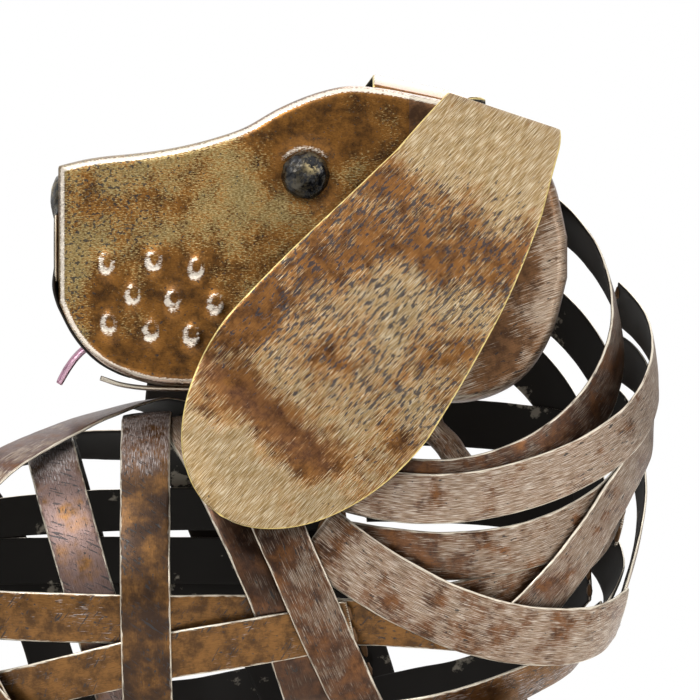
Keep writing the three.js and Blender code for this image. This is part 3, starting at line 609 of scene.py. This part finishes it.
# The band: straight lines from the near cheek's rim to the far cheek's, crowned a little.
loop = np.concatenate([np.arange(len(head_x)) * len(head_rise),
                       (len(head_x) - 1) * len(head_rise) + np.arange(1, len(head_rise)),
                       np.arange(len(head_x) - 2, -1, -1) * len(head_rise) + len(head_rise) - 1,
                       np.arange(len(head_rise) - 2, 0, -1)])
cheek = np.arange(cheek_x.size).reshape(cheek_x.shape)
cheek_faces = np.stack([cheek[:-1, :-1], cheek[1:, :-1], cheek[1:, 1:], cheek[:-1, 1:]], -1).reshape(-1, 4)
near = np.stack([cheek_x, -cheek_out, cheek_z], -1).reshape(-1, 3)
far = np.stack([cheek_x, cheek_out, cheek_z], -1).reshape(-1, 3)
ACROSS = np.linspace(-1, 1, 13)[1:-1]
band_start = 2 * cheek_x.size
onward = near[np.roll(loop, -1)] - near[np.roll(loop, 1)]
band_out = unit(np.stack([onward[:, 2], onward[:, 0] * 0, -onward[:, 0]], -1))
band_points = []
for u in ACROSS:
    line = near[loop] * (1 - u) / 2 + far[loop] * (1 + u) / 2
    band_points.append(line + band_out * (BAND_CROWN * (1 - u * u)))
columns = [loop] + [band_start + i * len(loop) + np.arange(len(loop)) for i in range(len(ACROSS))]
columns.append(loop + cheek_x.size)
band_faces = [np.stack([a, np.roll(a, -1), np.roll(b, -1), b], -1) for a, b in zip(columns, columns[1:])]
head_faces = np.vstack([cheek_faces, cheek_faces[:, ::-1] + cheek_x.size] + band_faces)
head_places = np.vstack([near, far] + band_points)

# Wear: less brush among the whiskers, round the eye, on the brow and behind the ear.
whisker_field = ease(cheek_x, head_low[0] + 4 * MM, head_low[0] + 12 * MM)
whisker_field = whisker_field * (1 - ease(cheek_x, head_low[0] + 42 * MM, head_low[0] + 52 * MM))
whisker_field = whisker_field * (1 - ease(cheek_z, head_low[2] + 34 * MM, head_low[2] + 42 * MM))
around_eye = np.exp(-(from_eye / (13 * MM)) ** 2)
behind_ear = ease(cheek_x, head_low[0] + 95 * MM, head_low[0] + 118 * MM)
brow = ease(cheek_x, head_low[0] + 38 * MM, head_low[0] + 62 * MM)
brow *= ease(cheek_z, eye_place[2], eye_place[2] + 9 * MM)
cheek_brush = 0.52 - 0.36 * whisker_field - 0.25 * around_eye - 0.4 * brow
cheek_brush += 0.35 * rough(where, 13 * MM, 5.0)
cheek_brush -= 0.25 * behind_ear * ease(from_outline, 2 * MM, 9 * MM)
cheek_bare_and_highlight = 0.9 * np.exp(-((from_outline - 0.9 * MM) / (0.9 * MM)) ** 2) * (1 - 0.5 * behind_ear)
cheek_bare_and_highlight = np.maximum(cheek_bare_and_highlight, 1.15 * np.clip(dimple_rim, 0, 1))
# A painted highlight: a pale crescent on the upper side of the dish round the eye, where it catches the
# light from above.
cheek_bare_and_highlight = np.maximum(cheek_bare_and_highlight, 0.72 * np.exp(-((from_eye - 6.9 * MM) / (1.1 * MM)) ** 2)
                       * ease(cheek_z - eye_place[2], 0, 6 * MM))
snout_share = 1 - ease(cheek_x, head_low[0] + 14 * MM, head_low[0] + 40 * MM)
cheek_speck = 0.35 + 0.5 * snout_share * (1 - whisker_field)
loop_run = np.concatenate([[0], np.cumsum(np.linalg.norm(np.diff(near[loop], axis=0), axis=1))])
band_sheet = np.vstack([np.stack([loop_run, 0.3 + u * 0.02 + loop_run * 0], -1) for u in ACROSS])
cheek_sheet = np.stack([cheek_x, cheek_z], -1).reshape(-1, 2)
count = len(ACROSS) * len(loop)
head_marks = {
    "sheet": np.vstack([cheek_sheet, cheek_sheet + 0.5, band_sheet]),
    "rim": np.concatenate([cheek_bare_and_highlight.ravel(), cheek_bare_and_highlight.ravel(), np.zeros(count)]),
    "brushed": np.concatenate([np.clip(cheek_brush, 0, 1).ravel()] * 2 + [np.full(count, 0.45)]),
    "tint": np.concatenate([np.zeros(2 * cheek_x.size), np.full(count, 0.8)]),
    "speckled": np.concatenate([cheek_speck.ravel(), cheek_speck.ravel(), np.full(count, 0.3)]),
}
# Orange-brown lacquer under a dusting of dull gold: grainy rather than streaked.
dusted_bronze = worn_lacquer("gold_dusted_bronze_lacquer", ("#4f3315", "#8c5d26"), "#6e5348",
                             ("#94804f", "#ccbb8c"), (0.9, 0.34), bare="#efe3d3", gloss=0.34, patchy=0.9)
# Behind the ear: darker brown, scratched pale on a rising slant.
scratched_bronze = worn_lacquer("scratched_brown_lacquer", ("#4d3523", "#7c5737"), "#7b5f56",
                                ("#ad967f", "#e4d8c8"), (5.5, 0.26), angle=math.radians(-20))
behind = head_places[head_faces[:, 0], 0] > head_low[0] + 88 * MM
skin_piece("head_shell", head_places, head_faces, head_marks, [dusted_bronze, scratched_bronze],
           behind.astype(int), ["head"])

# ---------------------------------------------------------------------------------------------
# Eyes and nose: small black castings, uneven from the sand mould, enamelled and glossy, with a
# few gold flecks, and a painted highlight of dense gold flecks high on one side. Each is stuck flat on the
# sheet.
black_enamel = bpy.data.materials.new("black_enamel_on_casting")
black_enamel.use_nodes = True
enamel = black_enamel.node_tree
enamel_shader = enamel.nodes["Principled BSDF"]
enamel_place = add(enamel, "ShaderNodeTexCoord").outputs["Object"]
SAND_GRAIN = 1.111 * MM
GILT_FLECK = 2.381 * MM
enamel_grain = add(enamel, "ShaderNodeTexNoise", {"Vector": enamel_place, "Scale": 1 / SAND_GRAIN,
                                                  "Detail": 4, "Roughness": 0.6}).outputs[0]
caught = add(enamel, "ShaderNodeTexNoise", {"Vector": enamel_place, "Scale": 1 / GILT_FLECK,
                                            "Detail": 6, "Roughness": 0.75}).outputs[0]
flecks = add(enamel, "ShaderNodeMapRange", {"Value": caught, "From Min": 0.46, "From Max": 0.54}).outputs[0]
# Gold in the flecks: a few everywhere, and dense in a painted highlight high on one side of each casting.
flecks_and_highlight = add(enamel, "ShaderNodeAttribute", attribute_name="flecks_and_highlight").outputs["Fac"]
gold_flecks_and_highlight = add(enamel, "ShaderNodeMath", {0: flecks, 1: flecks_and_highlight}, operation="MULTIPLY").outputs[0]
enamel_colour = add(enamel, "ShaderNodeMix", {0: gold_flecks_and_highlight, 6: paint("#0c0d11"), 7: paint("#d3bd8a")},
                    data_type="RGBA").outputs[2]
enamel_bump = add(enamel, "ShaderNodeBump", {"Strength": 0.6, "Distance": 0.25 * MM, "Height": enamel_grain})
enamel.links.new(enamel_colour, enamel_shader.inputs["Base Color"])
enamel.links.new(enamel_bump.outputs[0], enamel_shader.inputs["Normal"])
enamel_shader.inputs["Metallic"].default_value = 0.35
enamel_shader.inputs["Roughness"].default_value = 0.22


def casting(name, node, centre, out, radii, seed, deep):
    """A bumpy dome on a flat back, its top pointing along out, with one dent of depth deep."""
    rings, sides = 26, 56
    up = np.array([0.0, 0.0, 1.0])
    across = np.cross(up, out)
    points, flecks_and_highlight = [], []
    for i in range(rings + 1):
        for j in range(sides):
            ball = ball_point(0.5 * math.pi * i / rings, 2 * math.pi * j / sides)
            dent = 1 + 0.07 * noise.noise(Vector(ball * 2.3) + Vector((seed, 0, seed)))
            dent += 0.03 * noise.noise(Vector(ball * 6.5) + Vector((0, seed, 0)))
            dent -= deep * math.exp(-((ball[0] - 0.1) ** 2 + (ball[1] - 0.12) ** 2) / 0.05)
            points.append(centre + across * ball[0] * radii[0] * dent + up * ball[1] * radii[1] * dent
                          + out * ball[2] ** 0.85 * radii[2] * dent)
            # A painted highlight: the gold flecks gather high on one side of the dome, where it would glint.
            flecks_and_highlight.append(0.06 + math.exp(-((ball[0] - 0.3) ** 2 + (ball[1] - 0.42) ** 2) / 0.07))
    faces = ring_faces(rings + 1, sides) + [list(range(sides))]
    skin_piece(name, points, faces, {"flecks_and_highlight": flecks_and_highlight}, [black_enamel], [0] * len(faces), [node])


for side, word in ((-1, "near"), (1, "far")):
    low, high = [np.array(c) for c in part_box("eye_" + word)]
    centre = (low + high) / 2
    centre[1] = (high[1] if side < 0 else low[1]) - side * 0.8 * MM
    casting("cast_eye_" + word, "eye_" + word, centre, np.array([0.0, side, 0.0]),
            (6 * MM, 6 * MM, 4.8 * MM), 4.0 + side, 0.12)
nose_low, nose_high = [np.array(c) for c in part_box("nose")]
nose_centre = np.array([nose_high[0] + 0.8 * MM, 0, (nose_low[2] + nose_high[2]) / 2])
casting("cast_nose", "nose", nose_centre, np.array([-1.0, 0.0, 0.0]),
        (9.3 * MM, 6.8 * MM, 3.1 * MM), 9.0, 0.0)

# ---------------------------------------------------------------------------------------------
# Lip, muzzle strip and lower jaw: narrow tongues of thin sheet, welded across the front and
# under the chin of the head. The jaw narrows to a blunt point in front.


def tapered_sheet(name, path, halves, thickness, crown, finishes, stands_for, fork=0.0,
                  brush=0.4, tint=0.3):
    """A sheet along a path in the dog's middle plane, its half width given at each point, and
    its last end cut to a fork of the given depth."""
    rows = [[x, 0, z, half] for (x, z), half in zip(path, halves)]
    at, rows = smooth(rows, 0.5 * MM)
    along = unit(np.gradient(rows[:, :3], axis=0))
    out = np.stack([-along[:, 2], along[:, 0] * 0, along[:, 0]], -1)
    width = np.broadcast_to(SECTION, (len(at), len(SECTION)))
    middle = rows[:, None, :3] + 0 * width[..., None]
    pull = fork * ease(at, at[-1] * 0.55, at[-1])[:, None] * np.maximum(0, 1 - np.abs(width) * 1.6)
    flat = middle - along[:, None] * pull[..., None]
    flat[..., 1] += width * rows[:, 3:4]
    height = crown * (1 - width ** 2)
    thick = thickness * (0.5 - ROUND_OFF)
    marks = {
        "sheet": np.stack([at[:, None] + 0 * width, width * rows[:, 3:4]], -1),
        "rim": np.clip(1 - (1 - np.abs(width)) * rows[:, 3:4] / (0.5 * MM), 0, 1),
        "brushed": np.full(width.shape, brush), "tint": np.full(width.shape, tint),
        "speckled": np.full(width.shape, 0.3),
    }
    sheet_piece(name, flat + out[:, None] * (height + thick)[..., None],
                flat + out[:, None] * (height - thick)[..., None], marks, finishes, stands_for)


def chin_point(along, gap):
    """A place just outside the head's outline, from the snout's lower corner along the chin."""
    index = int(along / HEAD_STEP)
    spot = np.array([head_x[index], head_bottom[index]])
    run = np.array([head_x[index + 1] - head_x[index], head_bottom[index + 1] - head_bottom[index]])
    run = run / np.linalg.norm(run)
    return spot + np.array([run[1], -run[0]]) * gap


jaw_low, jaw_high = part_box("lower_jaw")
jaw_z = (jaw_low[2] + jaw_high[2]) / 2
jaw_path = [(jaw_low[0], jaw_high[2] - 0.6 * MM), (jaw_low[0] + 6 * MM, jaw_z + 0.2 * MM),
            (jaw_low[0] + 15 * MM, jaw_low[2] + 2.0 * MM), (jaw_high[0], jaw_low[2] + 1.8 * MM)]
tapered_sheet("jaw_strip", jaw_path, [1.2 * MM, 5 * MM, 8.5 * MM, 9 * MM], 1.0 * MM, -0.3 * MM,
              [smooth_bronze, smooth_bronze], ["lower_jaw"], brush=0.1)
lip_path = [(snout_front - 1.3 * MM, head_bottom[0] + 9 * MM),
            (snout_front - 1.5 * MM, head_bottom[0] + 4 * MM)]
for along_chin in (0.0, 4.0, 9.0, 14.0, 19.0, 24.0, 28.0):
    lip_path.append(tuple(chin_point(along_chin * MM, (0.6 - 0.01 * along_chin) * MM)))
tapered_sheet("lip_strip", lip_path, [5 * MM] + [11 * MM] * (len(lip_path) - 2) + [9 * MM], 0.8 * MM,
              0.2 * MM, [black_primer, black_primer], [])
muzzle_path = [(snout_front - 1.1 * MM, head_bottom[0] + d * MM) for d in (5.0, 11.0, 17.0, 22.0)]
tapered_sheet("muzzle_strip", muzzle_path[::-1], [8 * MM, 9 * MM, 9 * MM, 8 * MM], 1.0 * MM, 0.4 * MM,
              [brushed_bronze, black_primer], [], brush=0.95, tint=0.9)

# ---------------------------------------------------------------------------------------------
# The tongue: thin sheet cut to a fork and bent down out of the mouth, in dusty pink lacquer.

# Pink lacquer: a soft shine, rubbed paler in streaks and darker in the pits.
pink_lacquer = worn_lacquer("dusty_pink_lacquer", ("#7e4a63", "#b5718f"), "#5b3a4a",
                            ("#c793ac", "#e6c9d6"), (2.0, 0.4), speck="#35222b", bare="#c9a3b4")
tongue_low, tongue_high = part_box("tongue")
tongue_path = [(tongue_high[0] + 1.6 * MM, tongue_high[2] + 1.2 * MM),
               (tongue_high[0] - 1.4 * MM, tongue_high[2] - 1.2 * MM),
               ((tongue_low[0] + tongue_high[0]) / 2 - 0.3 * MM,
                (tongue_low[2] + tongue_high[2]) / 2 + 0.4 * MM),
               (tongue_low[0] + 0.6 * MM, tongue_low[2] + 0.6 * MM)]
tapered_sheet("pink_tongue", tongue_path, [3.4 * MM, 3.8 * MM, 3.6 * MM, 2.2 * MM], 1.1 * MM, -0.9 * MM,
              [pink_lacquer, pink_lacquer], ["tongue"], fork=3.0 * MM, brush=0.4, tint=0.2)

# ---------------------------------------------------------------------------------------------
# The ears: each a long leaf of thin sheet, bent over the top of the head and hanging by the
# cheek, dished along its length. An ear's sizes are in millimetres down it from the fold.
EAR_LENGTH = 122.0
EAR_WIDEST = 79.0
FOLD_HALF = 15.5
WIDEST_HALF = 29.0
EAR_DRIFT = 10.2
EAR_HALF_SHEET = 0.5 * MM
# How far down the ear, and how far out from the dog's middle plane the sheet is there.
EAR_FLARE = [(-12, 9), (-6, 18), (0, 25.5), (8, 31.5), (22, 38), (45, 44.5), (70, 48.6), (92, 50.6),
             (110, 53), (122, 56.5)]
# Side, how far behind the snout its fold lies, how high, how the fold slopes, how the ear leans
# and how fast the fold dips to its weld on the head.
EARS = {"near": (-1, 112.5, 236.6, 18.4, 31.8, 0.01),
        "far": (1, 94.5, 245.0, 12.0, 28.0, 0.025)}
_, flare = smooth([(down, out, 0) for down, out in EAR_FLARE], 0.5)
# Gold lacquer: scratched on the slant to the brown under it, dark in the pits, bright at the rim.
brushed_gold = worn_lacquer("scratched_gold_lacquer", ("#4e3018", "#8a5c2c"), "#6d4a44",
                            ("#a2895c", "#efe4cc"), (4.6, 0.23), angle=math.radians(-47), speck="#221d22",
                            bare="#e6cf86", gloss=0.34, patchy=0.8)


def ear_half(down):
    """Half the leaf's width: swelling from the fold to its widest, then a half ellipse to the tip."""
    to_tip = (down - EAR_WIDEST) / (EAR_LENGTH - EAR_WIDEST)
    rounded = WIDEST_HALF * np.sqrt(np.maximum(0, 1 - to_tip ** 2))
    part = np.clip(down, 0, EAR_WIDEST) / EAR_WIDEST
    swelling = FOLD_HALF + (WIDEST_HALF - FOLD_HALF) * (0.5 * part + 0.5 * np.sin(math.pi / 2 * part))
    return np.where(down > EAR_WIDEST, rounded, swelling)


def ear(word, side, behind, high, slope, lean, dip):
    """One ear, from its weld on the head, over the fold and down to the tip."""
    down = np.concatenate([np.linspace(-12, 0, 12)[:-1], EAR_LENGTH * (1 - np.linspace(1, 0, 130) ** 1.5)])
    down[-1] = EAR_LENGTH - 0.04
    u = np.sin(np.linspace(-math.pi / 2, math.pi / 2, 65))
    down, u = np.meshgrid(down, u, indexing="ij")
    run = np.maximum(down, 0)
    lean, slope = math.radians(lean), math.radians(slope)
    straight = ease(run, 0, 45)
    row = slope + (lean - slope) * straight
    half = ear_half(run)
    across = 3 * straight - EAR_DRIFT * np.clip((run - 20) / 99, 0, 1.2) + u * half
    across -= 0.42 * half * np.maximum(u, 0) ** 3 * (1 - ease(down, -9, 7)) ** 2
    x = behind - run * math.sin(lean) + across * np.cos(row)
    z = high - run * math.cos(lean) - across * np.sin(row) - np.minimum(down, 0) ** 2 * dip
    out = np.interp(down, flare[:, 0], flare[:, 1]) - 1.6 * u * u * np.minimum(1, run / 40)
    valley = np.exp(-((run - 95.3 - 3.7 * u) / 5.5) ** 2) * (1 - ease(u, 0.3, 0.9))
    where = np.stack([x, z, 0 * x + side * 40], -1)
    out += -1.2 * valley + 0.5 * rough(where, 22) + 0.12 * rough(where, 7)
    middle = np.stack([snout_front + x * MM, side * out * MM, z * MM], -1)
    normal = unit(np.cross(np.gradient(middle, axis=1), np.gradient(middle, axis=0)))
    normal *= np.where(normal[..., 1:2] * side + normal[..., 2:] * 0.6 < 0, -1, 1)
    # The rows near the tip run almost along the edge, so the sheet's direction is taken above it.
    above_tip = normal[np.searchsorted(down[:, 0], EAR_LENGTH - 9)].mean(axis=0)
    normal = unit(normal + (above_tip - normal) * ease(down, EAR_LENGTH - 9, EAR_LENGTH - 4)[..., None])
    from_edge = np.minimum((1 - np.abs(u)) * half, EAR_LENGTH - down)
    thick = EAR_HALF_SHEET * (1 - 0.75 * np.exp(-from_edge / 0.25))[..., None]
    middle = middle + normal * EAR_HALF_SHEET
    # Over the mottled brush, painted light and shade: a painted highlight over the fold, where it
    # bends up to the light, and from past the valley to the tip, where the lobe turns up; painted
    # shade along the front edge, which faces down, and in the valley that crosses the ear, with a
    # little mauve there. Darker below the fold.
    mottled = rough(where, 13, 2.0)
    brush = 0.56 + 0.4 * np.exp(-((run - 9) / 10) ** 2) + 0.3 * mottled - 0.42 * valley
    brush -= 0.22 * np.exp(-((run - 34) / 11) ** 2)
    brush += 0.3 * ease(run, 101, 108)
    brush -= 0.3 * ease(-u, 0.2, 0.8) * ease(run, 25, 55) * (1 - ease(run, 80, 90))
    # Painted shade: the far ear's fold is darkened so that it shows no bright reflection.
    brush -= 0.6 * (side > 0) * (1 - ease(run, 0, 20))
    speckled = 0.95 * ease(run, 12, 30) * (1 - ease(run, 75, 100)) + 0.3 * mottled
    marks = {
        "sheet": np.stack([x * MM, z * MM + side], -1),
        "rim": np.clip(1 - from_edge / 0.9, 0, 1),
        "brushed": np.clip(brush, 0, 1),
        "tint": 0.5 * ease(u, 0.2, 0.9) * (1 - ease(run, 10, 40)) + 0.25 * valley,
        "speckled": np.clip(speckled, 0, 1),
    }
    sheet_piece("leaf_ear_" + word, middle + normal * thick, middle - normal * thick, marks,
                [brushed_gold, black_primer], ["ear_" + word])


for word, placing in EARS.items():
    ear(word, *placing)

# ---------------------------------------------------------------------------------------------
# The strut: a short bent round bar that holds the head off the collar strips, with the strips'
# lacquer on an uneven skin.
strut_low, strut_high = [np.array(c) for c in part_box("neck_strut")]
strut_radius = 3.4 * MM
strut_path = [(strut_low[0] + strut_radius, strut_high[1] - strut_radius, strut_high[2] + 1 * MM),
              (strut_low[0] + strut_radius, strut_high[1] - strut_radius - 0.6 * MM, strut_high[2] - 6 * MM),
              ((strut_low[0] + strut_high[0]) / 2 - 0.2 * MM, (strut_low[1] + strut_high[1]) / 2 + 0.6 * MM,
               (strut_low[2] + strut_high[2]) / 2 - 0.4 * MM),
              (strut_high[0] - 2.4 * MM, strut_low[1] + 2.6 * MM, strut_low[2] + 2 * MM)]


def round_bar(name, path, radii, finish, stands_for, uneven, seed, brush=0.5, tint=0.1):
    """A round bar along a smooth path, its ends closed and rounded over."""
    at, rows = smooth([list(p) + [r] for p, r in zip(path, radii)], 0.7 * MM)
    along = unit(np.gradient(rows[:, :3], axis=0))
    first = unit(np.cross(along, np.array([0.3, 1.0, 0.2])))
    second = np.cross(along, first)
    sides = 32
    turn = 2 * math.pi * np.arange(sides) / sides
    ring = first[:, None] * np.cos(turn)[:, None] + second[:, None] * np.sin(turn)[:, None]
    radius = rows[:, 3][:, None] + uneven * rough(rows[:, None, :3] + ring * 3 * MM, 3.5 * MM, seed)
    ends = np.minimum(at, at[-1] - at)
    radius = radius * np.sqrt(np.clip(ends / (1.2 * MM), 0.05, 1))[:, None]
    points = (rows[:, None, :3] + ring * radius[..., None]).reshape(-1, 3)
    faces = capped_faces(len(at), sides)
    count = len(points)
    sheet = np.stack([np.repeat(at, sides), np.tile(turn * radii[0], len(at))], -1)
    marks = {"sheet": sheet, "rim": np.zeros(count), "brushed": np.full(count, brush),
             "tint": np.full(count, tint), "speckled": np.full(count, 0.4)}
    skin_piece(name, points, faces, marks, [finish], [0] * len(faces), stands_for)


round_bar("bent_strut", strut_path, [strut_radius] * 4, brushed_bronze, ["neck_strut"],
          0.35 * MM, 3.0, brush=0.6)

# ---------------------------------------------------------------------------------------------
# The legs: rolled tubes of the same sheet, each let into a paw and wound with a narrower strip.
# The top of each tube is cut on the slant, to the underside of the body.
# Each row is a ring in millimetres: its shift forward, its height, and its two half widths.
FRONT_LEG = [(0, 12.6, 7, 7), (0, 24, 7.4, 7.2), (1, 42, 8.8, 8.4), (2, 60, 11, 10)]
REAR_LEG = [(-1, 12.6, 7, 7), (-5, 24, 7.2, 7), (-7, 36, 8.2, 8), (-1, 54, 12, 10.4)]
LEG_TOPS = {"front": (3, 14, 10), "rear": (6, 16, 11)}
LEG_PLACES = ("front_near", "front_far", "rear_near", "rear_far")
TUBE_SIDES = 48
PAW_FORWARD = 5.0
WOUND_FINISH = (0.55, 0.15)

# The strips' lacquer, less red and more brown where it was brushed: streaks run down the tubes.
leg_bronze = worn_lacquer("brushed_leg_bronze_lacquer", ("#402a1a", "#774e2b"), "#6e5b58",
                          ("#8f775c", "#ded0bb"), (4.0, 0.25))


def paw_middle(place):
    low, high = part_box("paw_" + place)
    return (np.array(low) + np.array(high)) / 2


def leg_rings(place, axis_x, axis_y, turn):
    """The rings of a tube from the paw up, the last of them lying on the top of the CAD leg."""
    end = place.split("_")[0]
    cad_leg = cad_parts["leg_" + place].data
    leg_solid = BVHTree.FromPolygons([tuple(v.co) for v in cad_leg.vertices],
                                     [tuple(p.vertices) for p in cad_leg.polygons])
    shape = FRONT_LEG if end == "front" else REAR_LEG
    _, tube = smooth([(shift, 0, z, along, across) for shift, z, along, across in shape], 1.5)
    rings = []
    for shift, _, z, along, across in tube:
        rings.append(np.stack([axis_x + (shift + along * np.cos(turn)) * MM,
                               axis_y + across * np.sin(turn) * MM, np.full(len(turn), z * MM)], -1))
    shift, along, across = LEG_TOPS[end]
    rim = np.stack([axis_x + (shift + along * 0.93 * np.cos(turn)) * MM,
                    axis_y + across * 0.93 * np.sin(turn) * MM, np.zeros(len(turn))], -1)
    for point in rim:
        hit = leg_solid.ray_cast(Vector((point[0], point[1], 0.2)), Vector((0, 0, -1)))[0]
        point[2] = hit.z - 0.3 * MM if hit else rings[-1][0, 2] + 6 * MM
    last = rings[-1]
    for part in (0.2, 0.4, 0.6, 0.8, 1.0):
        ring = last * (1 - part) + rim * part
        ring[:, :2] = last[:, :2] + (rim - last)[:, :2] * math.sin(math.pi / 2 * part)
        rings.append(ring)
    return np.array(rings)


for place in LEG_PLACES:
    foot = paw_middle(place)
    axis_x, axis_y = foot[0] - PAW_FORWARD * MM, foot[1]
    turn = 2 * math.pi * np.arange(TUBE_SIDES) / TUBE_SIDES
    points = leg_rings(place, axis_x, axis_y, turn)
    points[..., 0] += 0.25 * MM * rough(points, 9 * MM)
    rings, sides = points.shape[:2]
    count = rings * sides
    marks = {"sheet": np.stack([points[..., 2].ravel(), np.tile(turn * 8 * MM, rings)], -1),
             "rim": np.zeros(count), "brushed": np.full(count, 0.4), "tint": np.full(count, 0.2),
             "speckled": np.full(count, 0.4)}
    faces = capped_faces(rings, sides)
    skin_piece("rolled_leg_" + place, points.reshape(-1, 3), faces, marks, [leg_bronze],
               [0] * len(faces), ["leg_" + place])
    wrap = "leg_wrap_" + place
    wrap_low, wrap_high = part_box(wrap)
    wrap_x = (wrap_low[0] + wrap_high[0]) / 2
    bent_strip("wound_strip_" + place, wrap, [[wrap_x, axis_y, 0], [wrap_x, axis_y, 0.1]],
               40 + foot[0] * 9 + foot[1], *WOUND_FINISH, crown=0.3 * MM)

# ---------------------------------------------------------------------------------------------
# The paws: domes pressed from sheet, lower in front, with three creases for the toes and a flat
# sole. Brushed like the legs, and dark in the creases.
PAW_HALF = (18.0, 12.5, 12.3)
TOE_CREASES = (-0.42, 0.0, 0.42)


def pressed_paw(place, foot):
    """One paw; ahead, aside and high are shares of its half length, half width and height."""
    rings, sides = 30, 72
    lift = np.linspace(0, 1, rings) ** 0.8 * math.pi / 2
    turn = 2 * math.pi * np.arange(sides) / sides
    lift, turn = np.meshgrid(lift, turn, indexing="ij")
    ahead, aside = np.cos(lift) ** 0.8 * np.cos(turn), np.cos(lift) ** 0.8 * np.sin(turn)
    high = np.sin(lift) * (1 - 0.28 * ease(ahead, 0.1, 1.0)) * 0.98
    toe = ease(ahead, 0.25, 0.75)
    for crease in TOE_CREASES:
        cut = np.exp(-((aside - crease) / 0.075) ** 2) * toe
        high = high * (1 - 0.3 * cut)
        ahead = ahead * (1 - 0.06 * cut)
    points = np.stack([foot[0] + ahead * PAW_HALF[0] * MM, foot[1] + aside * PAW_HALF[1] * MM,
                       high * PAW_HALF[2] * MM], -1)
    dark = sum(np.exp(-((aside - crease) / 0.13) ** 2) for crease in TOE_CREASES) * toe
    count = rings * sides
    marks = {"sheet": points[..., :2].reshape(-1, 2), "rim": np.zeros(count),
             "brushed": np.clip(0.62 - 0.6 * dark, 0, 1).ravel(), "tint": np.full(count, 0.15),
             "speckled": np.full(count, 0.4)}
    faces = capped_faces(rings, sides)
    skin_piece("pressed_paw_" + place, points.reshape(-1, 3), faces, marks, [leg_bronze],
               [0] * len(faces), ["paw_" + place])


for place in LEG_PLACES:
    pressed_paw(place, paw_middle(place))

# ---------------------------------------------------------------------------------------------
# The tail: one tapering strip, creased along its middle, welded to the rump and bent upwards.
# Its middle line and half widths come from the CAD tail's own corners.
TAIL_HALF_SHEET = 0.5 * MM
TAIL_FOLD = 2.4 * MM
tail_points, _ = corners("tail")
crease = tail_points[np.abs(tail_points[:, 1]) < 1e-5]
edge = tail_points[tail_points[:, 1] > 1e-5]
crease = crease[np.argsort(crease[:, 2])]
edge = edge[np.argsort(edge[:, 2])]
pairs = len(crease) // 2
spine = np.array([(crease[2 * i] + crease[2 * i + 1]) / 2 for i in range(pairs)])
halves = np.array([(edge[2 * i, 1] + edge[2 * i + 1, 1]) / 2 for i in range(pairs)])
at, rows = smooth(np.hstack([spine, halves[:, None]]), STEP)
along = unit(np.gradient(rows[:, :3], axis=0))
out = np.cross(np.array([0.0, 1.0, 0.0]), along)
TAIL_SECTION = np.array([-1, -0.95, -0.8, -0.5, -0.2, -0.06, 0, 0.06, 0.2, 0.5, 0.8, 0.95, 1])
width = np.broadcast_to(TAIL_SECTION, (len(at), len(TAIL_SECTION)))
half = rows[:, 3:4]
fold = TAIL_FOLD * (half / halves[0])
height = fold * (-np.sqrt(width ** 2 + 0.006))
flat = rows[:, None, :3] + 0 * width[..., None]
flat[..., 1] += width * half
thick = TAIL_HALF_SHEET * (1 - 1.6 * ROUND_OFF)
where = np.stack([at[:, None] + 0 * width, width * half, 0 * width + 5], -1)
height = height + 0.15 * MM * rough(where, 9 * MM)
marks = {"sheet": where[..., :2], "rim": np.clip(1 - (1 - np.abs(width)) * half / (0.7 * MM), 0, 1),
         "brushed": np.full(width.shape, 0.55), "tint": np.full(width.shape, 0.15),
         "speckled": np.full(width.shape, 0.4)}
sheet_piece("creased_tail", flat + out[:, None] * (height + thick)[..., None],
            flat + out[:, None] * (height - thick)[..., None], marks, [brushed_bronze, brushed_bronze],
            ["tail"])
